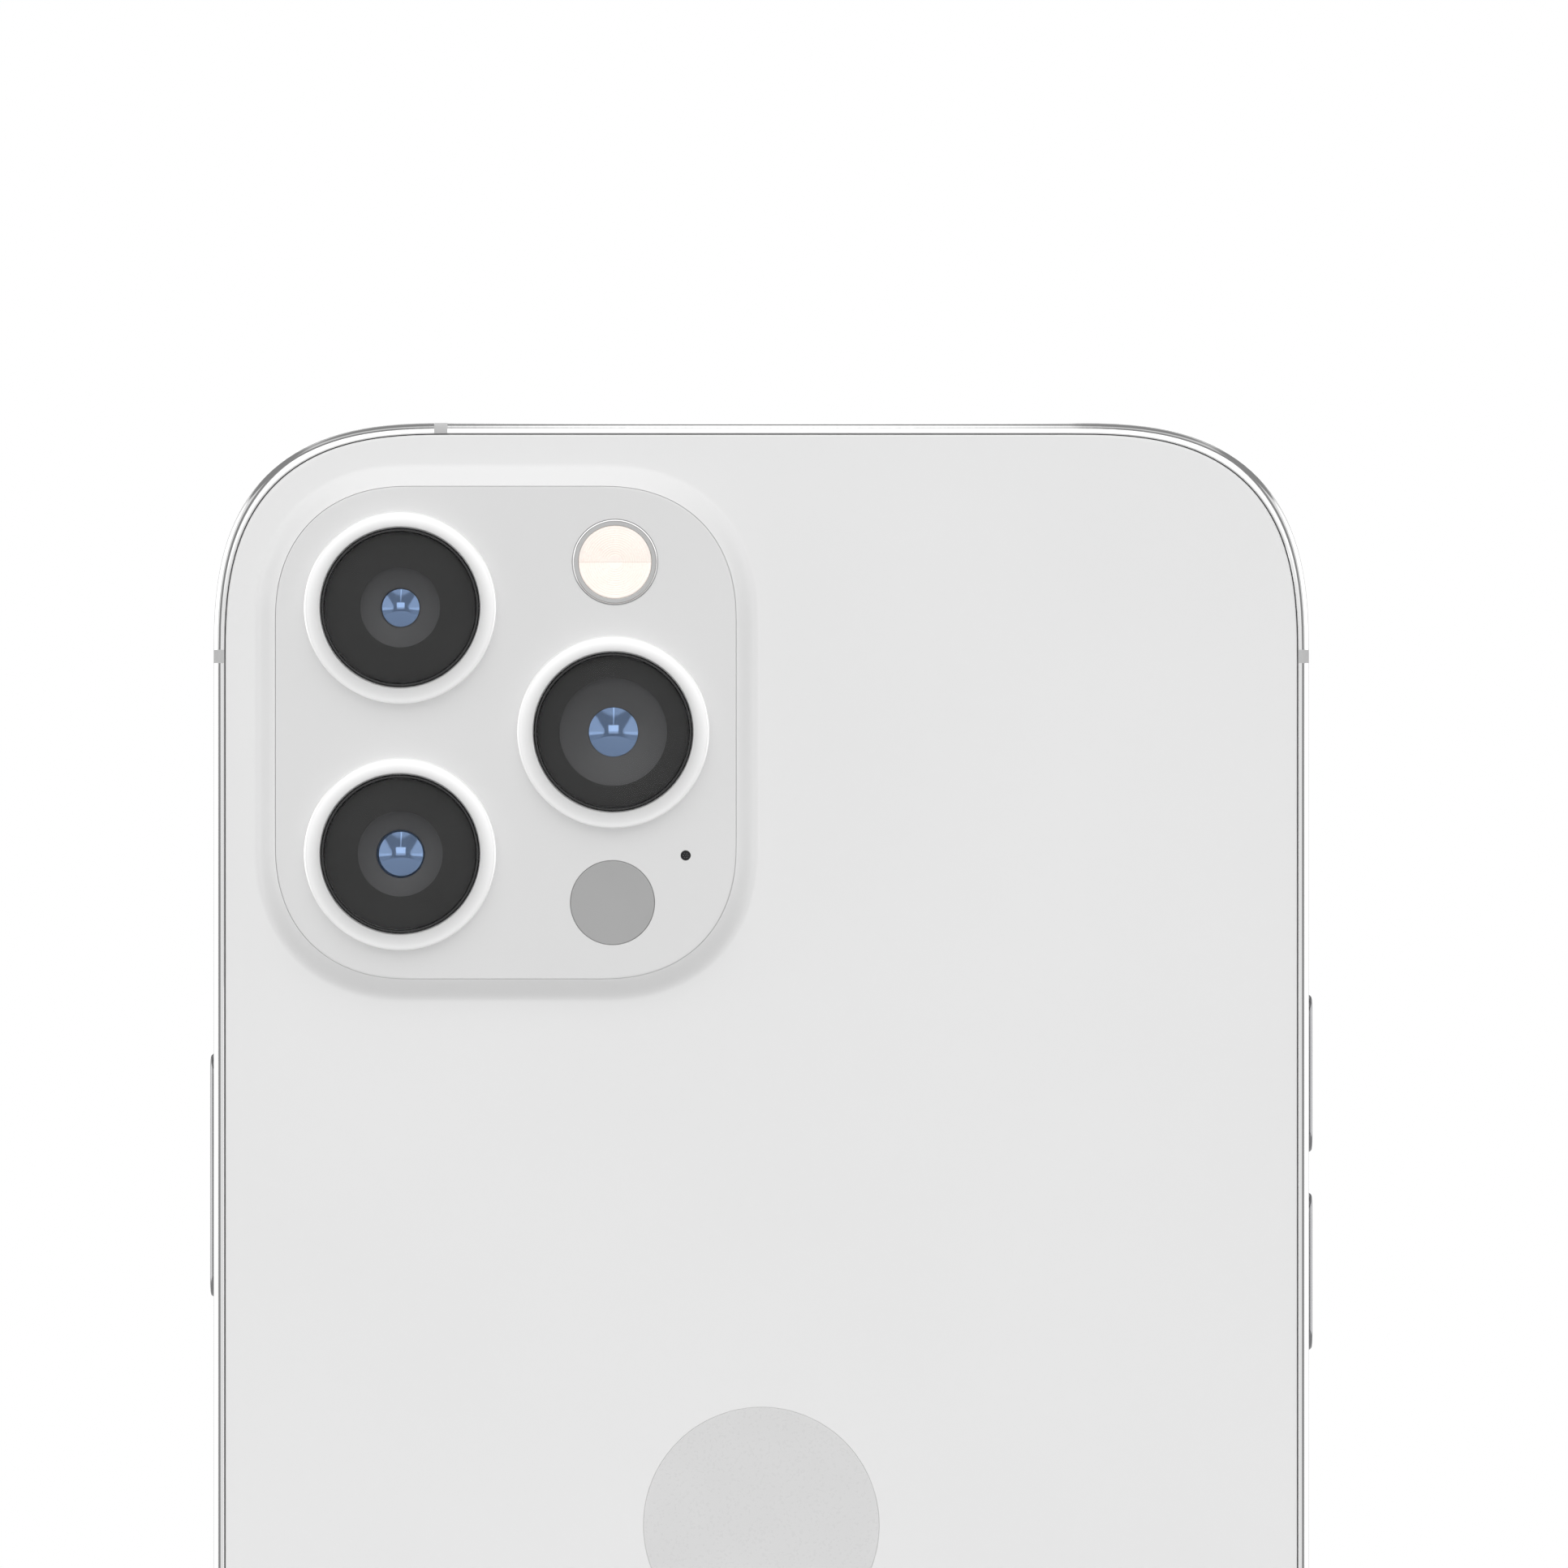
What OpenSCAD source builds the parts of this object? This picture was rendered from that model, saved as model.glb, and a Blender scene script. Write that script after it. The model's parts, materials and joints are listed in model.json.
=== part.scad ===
// Slab-sided smartphone with three rear cameras, standing upright on its bottom edge.
// +Z runs from the bottom edge to the top edge and +X is to the right seen from behind.
// -Y is the back and +Y is the screen. The origin is the mouth of the charging port, which is
// the centre of the bottom edge half way through the thickness. All sizes are in millimetres.

/* [Body] */
// Width across the side rails
body_w = 78.1; // [77.6:0.1:79]
// Height from the bottom edge to the top edge
body_h = 160.8; // [160:0.1:163]
// Thickness from back glass to display glass, without the camera bump
body_t = 7.4; // [7.4:0.1:7.8]
// Length that a rounded corner takes from each straight side
corner_reach = 17; // [15.5:0.5:18]
// Squareness of the corners, where 2 is a round arc
corner_power = 2.775; // [2.5:0.025:3.1]
// Wall of the metal frame, from its outer face to the cavity
frame_wall = 2.4; // [2.3:0.05:2.45]
// Width of the metal rim that shows round each glass
rim_w = 0.78; // [0.7:0.02:1]
// Height and width of the step that eases the frame's outer edges
edge_ease = 0.3; // [0.2:0.05:0.4]
// Width of each antenna break
break_w = 0.95; // [0.8:0.05:1.2]

/* [Glass] */
// Thickness of the back glass
back_glass_t = 0.8; // [0.7:0.05:0.8]
// Thickness of the display glass
front_glass_t = 0.7; // [0.6:0.05:0.7]
// Gap between a glass and the metal rim
glass_gap = 0.06; // [0.04:0.01:0.1]
// Diameter of the plain round inlay in the back glass
inlay_d = 16.8; // [12:0.2:20]

/* [Camera bump] */
// Width of the flat camera deck
deck_w = 32.83; // [32.6:0.01:33.2]
// Height of the flat camera deck
deck_h = 35.09; // [34.9:0.01:35.4]
// Corner length of the camera deck
deck_reach = 9.6; // [9:0.1:10]
// Squareness of the deck's corners, where 2 is a round arc
deck_power = 2.27; // [2.1:0.01:2.6]
// Height of the deck above the back glass
deck_rise = 1.55; // [1.4:0.05:1.8]
// Width of the flare between the flat back glass and the deck
flare_w = 1.6; // [1.4:0.05:1.7]
// Height of the camera rings above the deck
ring_rise = 1.15; // [1:0.05:1.4]
// Outer diameter of a camera ring
ring_d = 13.7; // [13.4:0.1:14]

/* [Buttons] */
// Length of the side button
side_button_l = 17.45; // [16:0.05:18]
// Length of each volume button
volume_button_l = 11.3; // [10:0.1:11.5]
// Width of the buttons across the phone's thickness
button_w = 3; // [2.6:0.1:3.2]
// Travel of the side and volume buttons
button_travel = 0.25; // [0.2:0.01:0.27]
// Travel of the mute switch
mute_travel = 1.3; // [1:0.1:1.4]

/* [Card tray] */
// Height of the tray's centre above the bottom edge
tray_z = 68; // [66:0.5:70]
// Diameter of the eject hole in the tray's face
eject_hole_d = 1; // [0.9:0.05:1]

/* [Hidden] */

$fn = 64;
cut = 1; // how far a cutting tool runs past the face that it cuts
slack = 0.02; // working gap between pieces that are fastened together
corner_steps = 12;

half_w = body_w / 2;
y_back = -body_t / 2;
y_front = body_t / 2;
y_back_in = y_back + back_glass_t;
y_front_in = y_front - front_glass_t;
y_plate = y_front - 2.4; // back face of the midplate
plate_t = 0.5;
x_cavity = half_w - frame_wall;
z_cavity_top = body_h - frame_wall;
glass_inset = rim_w + glass_gap;

// Antenna breaks: height of the pairs in the side rails from each end, and distance of the
// single ones in the top and bottom edges from the middle
break_end = 16.66;
break_x = 22.85;
z_break_top = body_h - break_end;
x_out = half_w + cut;
rail_z = [break_end + break_w / 2, z_break_top - break_w / 2];

// Camera bump
deck_x = -18.18;
deck_z = body_h - 22.11;
deck_t = 0.7;
y_deck = y_back - deck_rise;
y_ring = y_deck - ring_rise;
ledge_w = 1.2; // shelf in the back glass that carries the deck
flare_rings = 7;

// Each camera: [x, z, barrel diameter, funnel diameter, lens diameter, module width]
TELE = [-25.69, body_h - 13.22, 7.4, 5.67, 2.7, 10.5];
WIDE = [-25.69, body_h - 30.75, 8.2, 6.05, 3.4, 10.5];
ULTRAWIDE = [-10.53, body_h - 22.07, 9, 7.66, 3.5, 10];
CAMERAS = [TELE, WIDE, ULTRAWIDE];
sleeve_d = 12.9; // ring sleeve that passes through the deck
cover_d = 11.35;
cover_t = 0.6;
cover_sink = 0.15; // cover glass below the ring's rim
y_cover = y_ring + cover_sink;
ring_bore_d = 10.8;
focus_travel = 0.3;
y_barrel = y_cover + cover_t + focus_travel + 0.15;
y_barrel_end = y_back + 2.1;
y_module = y_deck + 1.05;
y_bracket = y_back + 1.3;
bracket_t = 0.4;

flash_x = -10.41;
flash_z = body_h - 9.98;
flash_d = 6.07;
flash_lens_d = 5.2;
depth_x = -10.59;
depth_z = body_h - 34.22;
depth_d = 6;
mic_x = -5.38;
mic_z = body_h - 30.86;
mic_d = 0.72;

// Buttons: middle heights, how far they stand out, and the holes behind them
side_button_z = 107.08;
volume_up_z = 114.35;
volume_down_z = 100.2;
mute_z = 127.15;
button_proud = 0.35;
pocket_depth = 1.5;
post_d = 1.2;
post_hole_d = 1.3;
post_inset = 2.2; // from a button's end to its post
post_reach = 0.55; // how far a post stands into the cavity
mute_l = 5.5;
mute_w = 1.9;
mute_proud = 0.12;
pocket_gap = 0.08;
switch_x = x_cavity - 0.87; // face of the dome switches

// Card tray, reader and eject lever
tray_l = 15;
tray_w = 2.3;
arm_l = 11.4;
arm_t = 0.8;
x_tray_end = x_cavity - 13.35;
card_l = 12.3;
card_w = 8.8;
card_t = 0.65;
x_card = x_tray_end + 1;
rod_w = 0.8;
rod_hole_w = 0.9;
pivot_d = 0.8;
pivot_hole_d = 0.9;
rod_dz = -6.6; // from the tray's centre to the rod
lever_dz = -3; // from the tray's centre to the lever's pivot
x_lever = x_cavity - 15.25;
lever_w = 1;

// Inside
inlay_z = 82.2;
notch_w = 35;
z_notch = body_h - 8.3;
battery_x = [-x_cavity + 2.25, x_cavity - 3.15];
battery_z = [22, 54, 117];
battery_step_x = -2.5;
board_x = [-1.5, x_cavity - 2.85];
board_z = [54.5, 84, 150.5];
board_leg_x = 19;
board_t = 0.6;
y_board = y_back + 1.8;
standoff_x = [0.6, 32];
standoff_z = [86.4, 148.4];
standoff_d = 2.6;
shield_x = [3, 30.4];
shield_z = [89.5, 112, 145.5];
shield_wall = 0.2;
reader_x = [x_tray_end + 0.3, x_cavity - 0.25];
reader_y = [y_board + board_t, 0.9];
haptic_x = [9.2, 32];
haptic_z = [7, 18];
haptic_wall = 0.5;
haptic_play = 0.8; // free space at each end of the mass
earpiece_z = body_h - 3.4;
sensor_z = body_h - 5.2;

// Port, screws and bottom holes
port_w = 8.7;
port_h = 2.9;
port_depth = 7.3;
shell_w = 9;
shell_h = 3.2;
shell_wall = 0.3;
z_shell = 0.85;
screw_x = 7.4;
head_d = 1.9;
head_t = 0.5;
screw_d = 1.2;
screw_l = 2.6;
screw_sink = 0.15;
screw_gap = 0.05;
grille_d = 1.25;
grille_pitch = 2.15;
grille_x = 11.5;
speaker_holes = 6;
mic_holes = 4;

// Rounded outline with superellipse corners, centred on the origin, as a list of points
function corner_point(reach, power, t) =
    [reach * pow(cos(t), 2 / power), reach * pow(sin(t), 2 / power)];
function corner_angle(i) = 90 * i / corner_steps;
function outline(w, h, reach, power) = [
    for (quarter = [0:3], i = [0:corner_steps])
        let (
            sx = quarter == 0 || quarter == 3 ? 1 : -1,
            sz = quarter < 2 ? 1 : -1,
            k = quarter % 2 == 0 ? i : corner_steps - i,
            p = corner_point(reach, power, corner_angle(k))
        )
        [sx * (w / 2 - reach + p[0]), sz * (h / 2 - reach + p[1])]
];

// 2D shapes drawn in the X-Z plane
module body_outline(inset) {
    translate([0, body_h / 2])
        polygon(outline(body_w - 2 * inset, body_h - 2 * inset,
                        corner_reach - inset, corner_power));
}

module deck_outline(inset) {
    translate([deck_x, deck_z])
        polygon(outline(deck_w - 2 * inset, deck_h - 2 * inset,
                        deck_reach - inset, deck_power));
}

module span(x, z) {
    translate([x[0], z[0]]) square([x[1] - x[0], z[1] - z[0]]);
}

// Rounded rectangle, w across and l along, with corner radius r
module rounded(w, l, r) {
    square([w - 2 * r, l], center = true);
    if (l > 2 * r) square([w, l - 2 * r], center = true);
    for (sx = [-1, 1], sz = [-1, 1])
        translate([sx * (w / 2 - r), sz * (l / 2 - r)]) circle(r);
}

module pill(w, l) {
    r = min(w, l) / 2;
    if (w > l) square([w - 2 * r, l], center = true);
    else square([w, l - 2 * r], center = true);
    for (s = [-1, 1])
        translate(w > l ? [s * (w / 2 - r), 0] : [0, s * (l / 2 - r)]) circle(r);
}

// A 2D shape in X-Z given thickness between two heights in Y
module plate(y0, y1) {
    translate([0, y1, 0]) rotate([90, 0, 0]) linear_extrude(y1 - y0) children();
}

// A 2D shape in Y-Z given thickness between two places in X
module side_plate(x0, x1) {
    translate([x0, 0, 0]) rotate([90, 0, 90]) linear_extrude(x1 - x0) children();
}

module y_rod(x, z, d, y0, y1) {
    translate([x, y1, z]) rotate([90, 0, 0]) cylinder(d = d, h = y1 - y0);
}

module x_rod(y, z, d, x0, x1) {
    translate([x0, y, z]) rotate([0, 90, 0]) cylinder(d = d, h = x1 - x0);
}

// A turned piece about an axis along Y: the profile holds [radius, height towards the back]
module turned(x, z, profile) {
    translate([x, 0, z]) rotate([90, 0, 0]) rotate_extrude() polygon(profile);
}

// Screw along +Z with its head's top face at the origin
module screw() {
    difference() {
        cylinder(d = head_d, h = head_t);
        translate([0, 0, -cut]) cylinder(d = 0.9, h = cut + 0.3, $fn = 6);
    }
    translate([0, 0, head_t]) cylinder(d = screw_d, h = screw_l);
}

// The metal frame ring as one piece, before it is cut at the antenna breaks
module frame_ring() {
    difference() {
        union() {
            plate(y_back + edge_ease, y_front - edge_ease) body_outline(0);
            plate(y_back, y_front) body_outline(edge_ease);
        }
        plate(y_back - cut, y_front + cut) body_outline(frame_wall);
        plate(y_back - cut, y_back_in) body_outline(rim_w);
        plate(y_front_in, y_front + cut) body_outline(rim_w);
    }
}

// Part of the frame ring between two places in X and two in Z
module frame_piece(x, z) {
    intersection() {
        frame_ring();
        plate(y_back - cut, y_front + cut) span(x, z);
    }
}

// Pocket and post holes for a button of length l at height z in the +X rail
module button_pocket(l, z) {
    side_plate(half_w - pocket_depth, x_out)
        translate([0, z]) pill(button_w + 2 * pocket_gap, l + 2 * pocket_gap);
    for (s = [-1, 1])
        x_rod(0, z + s * (l / 2 - post_inset), post_hole_d, x_cavity - cut, half_w);
}

// Button of length l at height z in the +X rail
module button(l, z) {
    x_under = half_w - pocket_depth + button_travel + 0.05;
    side_plate(x_under, half_w + button_proud) translate([0, z]) pill(button_w, l);
    for (s = [-1, 1])
        x_rod(0, z + s * (l / 2 - post_inset), post_d, x_cavity - post_reach, x_under);
}

module left_rail() {
    color("gainsboro") difference() {
        frame_piece([-x_out, -x_cavity + cut], rail_z);
        mirror([1, 0, 0]) button_pocket(side_button_l, side_button_z);
    }
}

module right_rail() {
    color("gainsboro") difference() {
        frame_piece([x_cavity - cut, x_out], rail_z);
        button_pocket(volume_button_l, volume_up_z);
        button_pocket(volume_button_l, volume_down_z);
        mute_pocket();
        tray_slot();
    }
}

module mute_pocket() {
    side_plate(half_w - pocket_depth + 0.1, x_out) translate([0, mute_z])
        rounded(mute_w + mute_travel + 2 * pocket_gap, mute_l + 2 * pocket_gap, 0.7);
    side_plate(x_cavity - cut, half_w)
        translate([0, mute_z]) square([mute_travel + 1, 2.2], center = true);
}

module tray_slot() {
    side_plate(half_w - pocket_depth, x_out) translate([0, tray_z])
        pill(tray_w + 2 * pocket_gap, tray_l + 2 * pocket_gap);
    side_plate(x_cavity - cut, half_w)
        translate([0, tray_z]) square([arm_t + 0.2, arm_l + 0.2], center = true);
    rod_hole(x_cavity - cut, half_w - pocket_depth + cut);
}

// Square hole that guides the eject rod
module rod_hole(x0, x1) {
    side_plate(x0, x1) translate([0, tray_z + rod_dz]) square(rod_hole_w, center = true);
}

module top_band() {
    color("gainsboro")
        frame_piece([-break_x + break_w / 2, x_out], [rail_z[1] + break_w, body_h + cut]);
}

module top_left_corner() {
    color("gainsboro")
        frame_piece([-x_out, -break_x - break_w / 2], [rail_z[1] + break_w, body_h + cut]);
}

module bottom_band() {
    color("gainsboro") difference() {
        frame_piece([-x_out, break_x - break_w / 2], [-cut, rail_z[0] - break_w]);
        translate([0, 0, -cut]) linear_extrude(frame_wall + 2 * cut) pill(port_w, port_h);
        translate([0, 0, z_shell - slack]) linear_extrude(frame_wall)
            pill(shell_w + 2 * slack, shell_h + 2 * slack);
        for (s = [-1, 1]) translate([s * screw_x, 0, -cut]) {
            cylinder(d = screw_d + 2 * screw_gap, h = frame_wall + 2 * cut);
            cylinder(d = head_d + 2 * screw_gap, h = screw_sink + head_t + cut);
        }
        for (i = [0:speaker_holes - 1]) grille_hole(-grille_x - i * grille_pitch);
        for (i = [0:mic_holes - 1]) grille_hole(grille_x + i * grille_pitch);
    }
}

module grille_hole(x) {
    translate([x, 0, -cut]) cylinder(d = grille_d, h = frame_wall + 2 * cut);
}

module bottom_right_corner() {
    color("gainsboro")
        frame_piece([break_x + break_w / 2, x_out], [-cut, rail_z[0] - break_w]);
}

module antenna_breaks() {
    color("darkgray") {
        for (z = [break_end, z_break_top]) {
            frame_piece([x_cavity - cut, x_out], [z - break_w / 2, z + break_w / 2]);
            frame_piece([-x_out, -x_cavity + cut], [z - break_w / 2, z + break_w / 2]);
        }
        frame_piece([-break_x - break_w / 2, -break_x + break_w / 2],
                    [z_cavity_top - cut, body_h + cut]);
        frame_piece([break_x - break_w / 2, break_x + break_w / 2],
                    [-cut, frame_wall + cut]);
    }
}

// Plate that joins the two sides of the frame between the battery and the display, with
// hollow posts for the board screws, a window for the pieces that face the user and a notch
// for the charging port
module midplate() {
    color("silver") difference() {
        union() {
            plate(y_plate, y_plate + plate_t) body_outline(frame_wall + slack);
            for (x = standoff_x, z = standoff_z)
                y_rod(x, z, standoff_d, y_board + board_t, y_plate + slack);
        }
        plate(y_plate - cut, y_plate + plate_t + cut)
            span([-notch_w / 2 - 0.5, notch_w / 2 + 0.5], [z_notch - 1.5, z_cavity_top - 0.6]);
        plate(y_plate - cut, y_plate + plate_t + cut)
            span([-shell_w / 2 - 0.5, shell_w / 2 + 0.5], [0, port_depth + 0.5]);
        for (x = standoff_x, z = standoff_z)
            y_rod(x, z, screw_d + 2 * screw_gap, y_board, y_plate - 0.3);
    }
}

// One ring of points of the camera flare, at share t of the way from base to deck
function flare_outline(t) = let (inset = flare_w * (t - 1))
    outline(deck_w - 2 * inset, deck_h - 2 * inset, deck_reach - inset, deck_power);
function flare_y(t) = y_back - deck_rise * (1 - cos(180 * t)) / 2;

module flare() {
    n = 4 * (corner_steps + 1);
    heights = [for (i = [0:flare_rings - 1]) i / (flare_rings - 1)];
    points = [
        for (p = flare_outline(0)) [p[0] + deck_x, y_back_in, p[1] + deck_z],
        for (t = heights, p = flare_outline(t)) [p[0] + deck_x, flare_y(t), p[1] + deck_z]
    ];
    faces = [
        [for (k = [0:n - 1]) k],
        [for (k = [n - 1:-1:0]) flare_rings * n + k],
        for (i = [0:flare_rings - 1], k = [0:n - 1])
            let (a = i * n + k, b = i * n + (k + 1) % n) each [[a, a + n, b], [b, a + n, b + n]]
    ];
    polyhedron(points, faces);
}

module back_glass() {
    color("whitesmoke") difference() {
        union() {
            plate(y_back, y_back_in) body_outline(glass_inset);
            flare();
        }
        plate(y_deck - cut, y_back_in + cut) deck_outline(ledge_w);
        plate(y_deck - cut, y_deck + deck_t) deck_outline(-slack);
        y_rod(0, inlay_z, inlay_d + 2 * slack, y_back - cut, y_back + 0.15);
    }
}

module camera_deck() {
    color("gainsboro") difference() {
        plate(y_deck, y_deck + deck_t) deck_outline(slack);
        for (c = CAMERAS) y_rod(c[0], c[1], sleeve_d + 0.1, y_deck - cut, y_back);
        y_rod(flash_x, flash_z, flash_d + 2 * slack, y_deck - cut, y_back);
        y_rod(depth_x, depth_z, depth_d + 2 * slack, y_deck - cut, y_back);
        y_rod(mic_x, mic_z, mic_d, y_deck - cut, y_back);
    }
}

module back_inlay() {
    color("lightgray") y_rod(0, inlay_z, inlay_d, y_back, y_back + 0.15);
}

// Flanged ring: its sleeve passes through the deck and its flange lies on the deck
module camera_ring(c) {
    r = ring_d / 2;
    ease = 0.35;
    top = -y_ring;
    seat = -y_cover - cover_t - slack;
    bore = cover_d / 2 + 0.05;
    rim = [for (a = [0:22.5:90]) [r - ease + ease * cos(a), top - ease + ease * sin(a)]];
    color("silver") turned(c[0], c[1], concat(
        [[ring_bore_d / 2, -y_module + 0.1], [sleeve_d / 2, -y_module + 0.1],
         [sleeve_d / 2, -y_deck], [r, -y_deck]],
        rim,
        [[bore + 0.1, top], [bore, top - 0.1], [bore, seat], [ring_bore_d / 2, seat]]));
}

module cover_glass(c) {
    color("dimgray", 0.6) y_rod(c[0], c[1], cover_d, y_cover, y_cover + cover_t);
}

// Lens barrel with a conical funnel in front of its lens
module barrel(c) {
    color("darkslategray") difference() {
        y_rod(c[0], c[1], c[2], y_barrel, y_barrel_end);
        translate([c[0], y_barrel, c[1]]) rotate([-90, 0, 0])
            cylinder(d1 = c[3], d2 = c[4] + 0.04, h = 0.35);
        y_rod(c[0], c[1], c[4] + 0.04, y_barrel - cut, y_barrel + 1.4);
    }
}

// Lens with a domed front that fills the barrel's bore
module front_lens(c) {
    r = c[4] / 2;
    rise = 0.3;
    low = -y_barrel - 1.38;
    high = -y_barrel - 0.4;
    dome = [for (a = [0:15:90]) [r * cos(a), high - rise + rise * sin(a)]];
    color("steelblue") turned(c[0], c[1], concat([[0, low], [r, low]], dome));
}

// Camera body with the bore that its barrel focuses in
module camera_module(c) {
    color("dimgray") difference() {
        plate(y_module, y_plate - 0.2) translate([c[0], c[1]]) rounded(c[5], c[5], 1);
        y_rod(c[0], c[1], c[2] + 0.2, y_module - cut, y_barrel_end + 0.2);
    }
}

module tele_ring() camera_ring(TELE);
module wide_ring() camera_ring(WIDE);
module ultrawide_ring() camera_ring(ULTRAWIDE);
module tele_cover_glass() cover_glass(TELE);
module wide_cover_glass() cover_glass(WIDE);
module ultrawide_cover_glass() cover_glass(ULTRAWIDE);
module tele_barrel() barrel(TELE);
module wide_barrel() barrel(WIDE);
module ultrawide_barrel() barrel(ULTRAWIDE);
module tele_front_lens() front_lens(TELE);
module wide_front_lens() front_lens(WIDE);
module ultrawide_front_lens() front_lens(ULTRAWIDE);
module tele_module() camera_module(TELE);
module wide_module() camera_module(WIDE);
module ultrawide_module() camera_module(ULTRAWIDE);

// Pressed bracket that holds the three camera bodies square to one another
module camera_bracket() {
    color("lightsteelblue") intersection() {
        plate(y_bracket, y_bracket + bracket_t) difference() {
            span([-x_cavity + 2.6, -4.2], [121.5, body_h - 5.3]);
            for (c = CAMERAS)
                translate([c[0], c[1]]) rounded(c[5] + 0.2, c[5] + 0.2, 1);
        }
        plate(y_bracket - cut, y_bracket + bracket_t + cut) body_outline(frame_wall + 0.3);
    }
}

module flash_bezel() {
    color("silver") difference() {
        y_rod(flash_x, flash_z, flash_d, y_deck - 0.06, y_deck + 0.6);
        y_rod(flash_x, flash_z, flash_lens_d + 2 * slack, y_deck - cut, y_back);
    }
}

module flash_lens() {
    color("seashell") y_rod(flash_x, flash_z, flash_lens_d, y_deck + 0.04, y_deck + 0.6);
}

// Flash board with its two emitters, on a stem that stands on the camera bracket
module flash_board() {
    color("khaki") {
        y_rod(flash_x, flash_z, flash_lens_d + 0.2, y_module + 0.15, y_module + 0.5);
        y_rod(flash_x, flash_z, 3, y_module + 0.5, y_bracket - slack);
        for (s = [-1, 1])
            plate(y_module - 0.1, y_module + 0.15)
                translate([flash_x, flash_z + 1.1 * s]) square([2.4, 1.4], center = true);
    }
}

module depth_window() {
    color("gray") y_rod(depth_x, depth_z, depth_d, y_deck, y_deck + 0.5);
}

module depth_module() {
    color("dimgray") {
        plate(y_deck + 0.75, y_bracket - slack)
            translate([depth_x, depth_z]) rounded(5.6, 5.6, 0.5);
        for (s = [-1, 1]) y_rod(depth_x, depth_z + 1.3 * s, 1.8, y_deck + 0.55, y_deck + 0.75);
    }
}

module rear_mic_mesh() {
    color("black") y_rod(mic_x, mic_z, mic_d - slack, y_deck + 0.1, y_deck + 0.25);
}

module display_glass() {
    color("black") difference() {
        plate(y_front_in, y_front) body_outline(glass_inset);
        plate(y_front_in - cut, y_front + cut) translate([0, earpiece_z]) pill(10.8, 1);
    }
}

module display_panel() {
    color("midnightblue") difference() {
        plate(y_plate + 0.9, y_front_in - slack) body_outline(frame_wall + 0.2);
        plate(y_plate, y_front)
            span([-notch_w / 2, notch_w / 2], [z_notch, body_h]);
    }
}

module earpiece_mesh() {
    color("dimgray") plate(y_front - 0.45, y_front - 0.25)
        translate([0, earpiece_z]) pill(10.76, 0.96);
}

module earpiece_speaker() {
    color("dimgray") plate(y_plate - 2.4, y_plate + 0.8)
        span([-8, 8], [z_notch - 1, z_cavity_top - 0.8]);
}

// A sealed camera or sensor behind the display glass with round barrels at the given x
module user_facing(x, barrels, d) {
    plate(y_plate - 2.4, y_plate + 0.7) span(x, [z_notch - 0.5, z_cavity_top - 0.8]);
    for (bx = barrels) y_rod(bx, sensor_z, d, y_plate + 0.7, y_front_in - 0.1);
}

module front_camera() {
    color("dimgray") user_facing([10, 15.8], [12.9], 3.4);
}

module face_sensor_module() {
    color("dimgray") user_facing([-16.6, -9], [-14.7, -11], 2.6);
}

// L-shaped battery that fills the space beside and below the logic board
module battery() {
    color("dimgray") plate(y_back_in + 0.7, y_plate - 0.1) {
        span(battery_x, [battery_z[0], battery_z[1]]);
        span([battery_x[0], battery_step_x], [battery_z[0], battery_z[2]]);
    }
}

module logic_board() {
    color("darkgreen") {
        difference() {
            plate(y_board, y_board + board_t) {
                span(board_x, [board_z[1], board_z[2]]);
                span([board_leg_x, board_x[1]], [board_z[0], board_z[1]]);
            }
            for (x = standoff_x, z = standoff_z)
                y_rod(x, z, screw_d + 2 * screw_gap, y_board - cut, y_board + board_t + cut);
        }
        // processor and memory packages inside the shields
        plate(y_board + board_t, y_board + board_t + 1.2) {
            translate([16, 100]) square(14, center = true);
            translate([16, 124]) square([18, 12], center = true);
        }
        plate(y_board - 0.5, y_board) translate([16, 130]) square([14, 18], center = true);
    }
}

// Pressed can, open towards the board
module shield(x, z, y_open, y_closed) {
    lo = min(y_open, y_closed);
    hi = max(y_open, y_closed);
    inner_lo = y_closed < y_open ? lo + shield_wall : lo - cut;
    inner_hi = y_closed < y_open ? hi + cut : hi - shield_wall;
    difference() {
        plate(lo, hi) span(x, z);
        plate(inner_lo, inner_hi)
            span([x[0] + shield_wall, x[1] - shield_wall],
                 [z[0] + shield_wall, z[1] - shield_wall]);
    }
}

module board_shields() {
    color("silver") {
        shield(shield_x, [shield_z[0], shield_z[2]], y_board + board_t, y_plate - 0.1);
        shield(shield_x, [shield_z[1], shield_z[2]], y_board, y_back_in + 0.15);
    }
}

module charge_coil() {
    color("peru") difference() {
        y_rod(0, inlay_z, 44, y_back_in + 0.05, y_back_in + 0.5);
        y_rod(0, inlay_z, 22, y_back_in - cut, y_back_in + cut);
    }
}

module magnet_ring() {
    pieces = 18;
    color("slategray") for (i = [0:pieces - 1])
        translate([0, y_back_in + 0.5, inlay_z]) rotate([90, 0, 0]) rotate(i * 360 / pieces)
            rotate_extrude(angle = 360 / pieces - 1.5)
                translate([24, 0]) square([4, 0.45]);
}

module port_shell() {
    color("silver") translate([0, 0, z_shell]) linear_extrude(port_depth - z_shell)
        difference() {
            pill(shell_w, shell_h);
            pill(shell_w - 2 * shell_wall, shell_h - 2 * shell_wall);
        }
}

// Insulating insert: a plug that closes the shell and the tongue that carries the contacts
module port_tongue() {
    color("black") {
        translate([0, 0, port_depth - 0.7]) linear_extrude(0.7)
            pill(shell_w - 2 * shell_wall - 2 * slack, shell_h - 2 * shell_wall - 2 * slack);
        translate([0, 0, 1.6]) linear_extrude(port_depth - 0.7 - 1.6)
            square([6.7, 0.7], center = true);
    }
}

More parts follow.
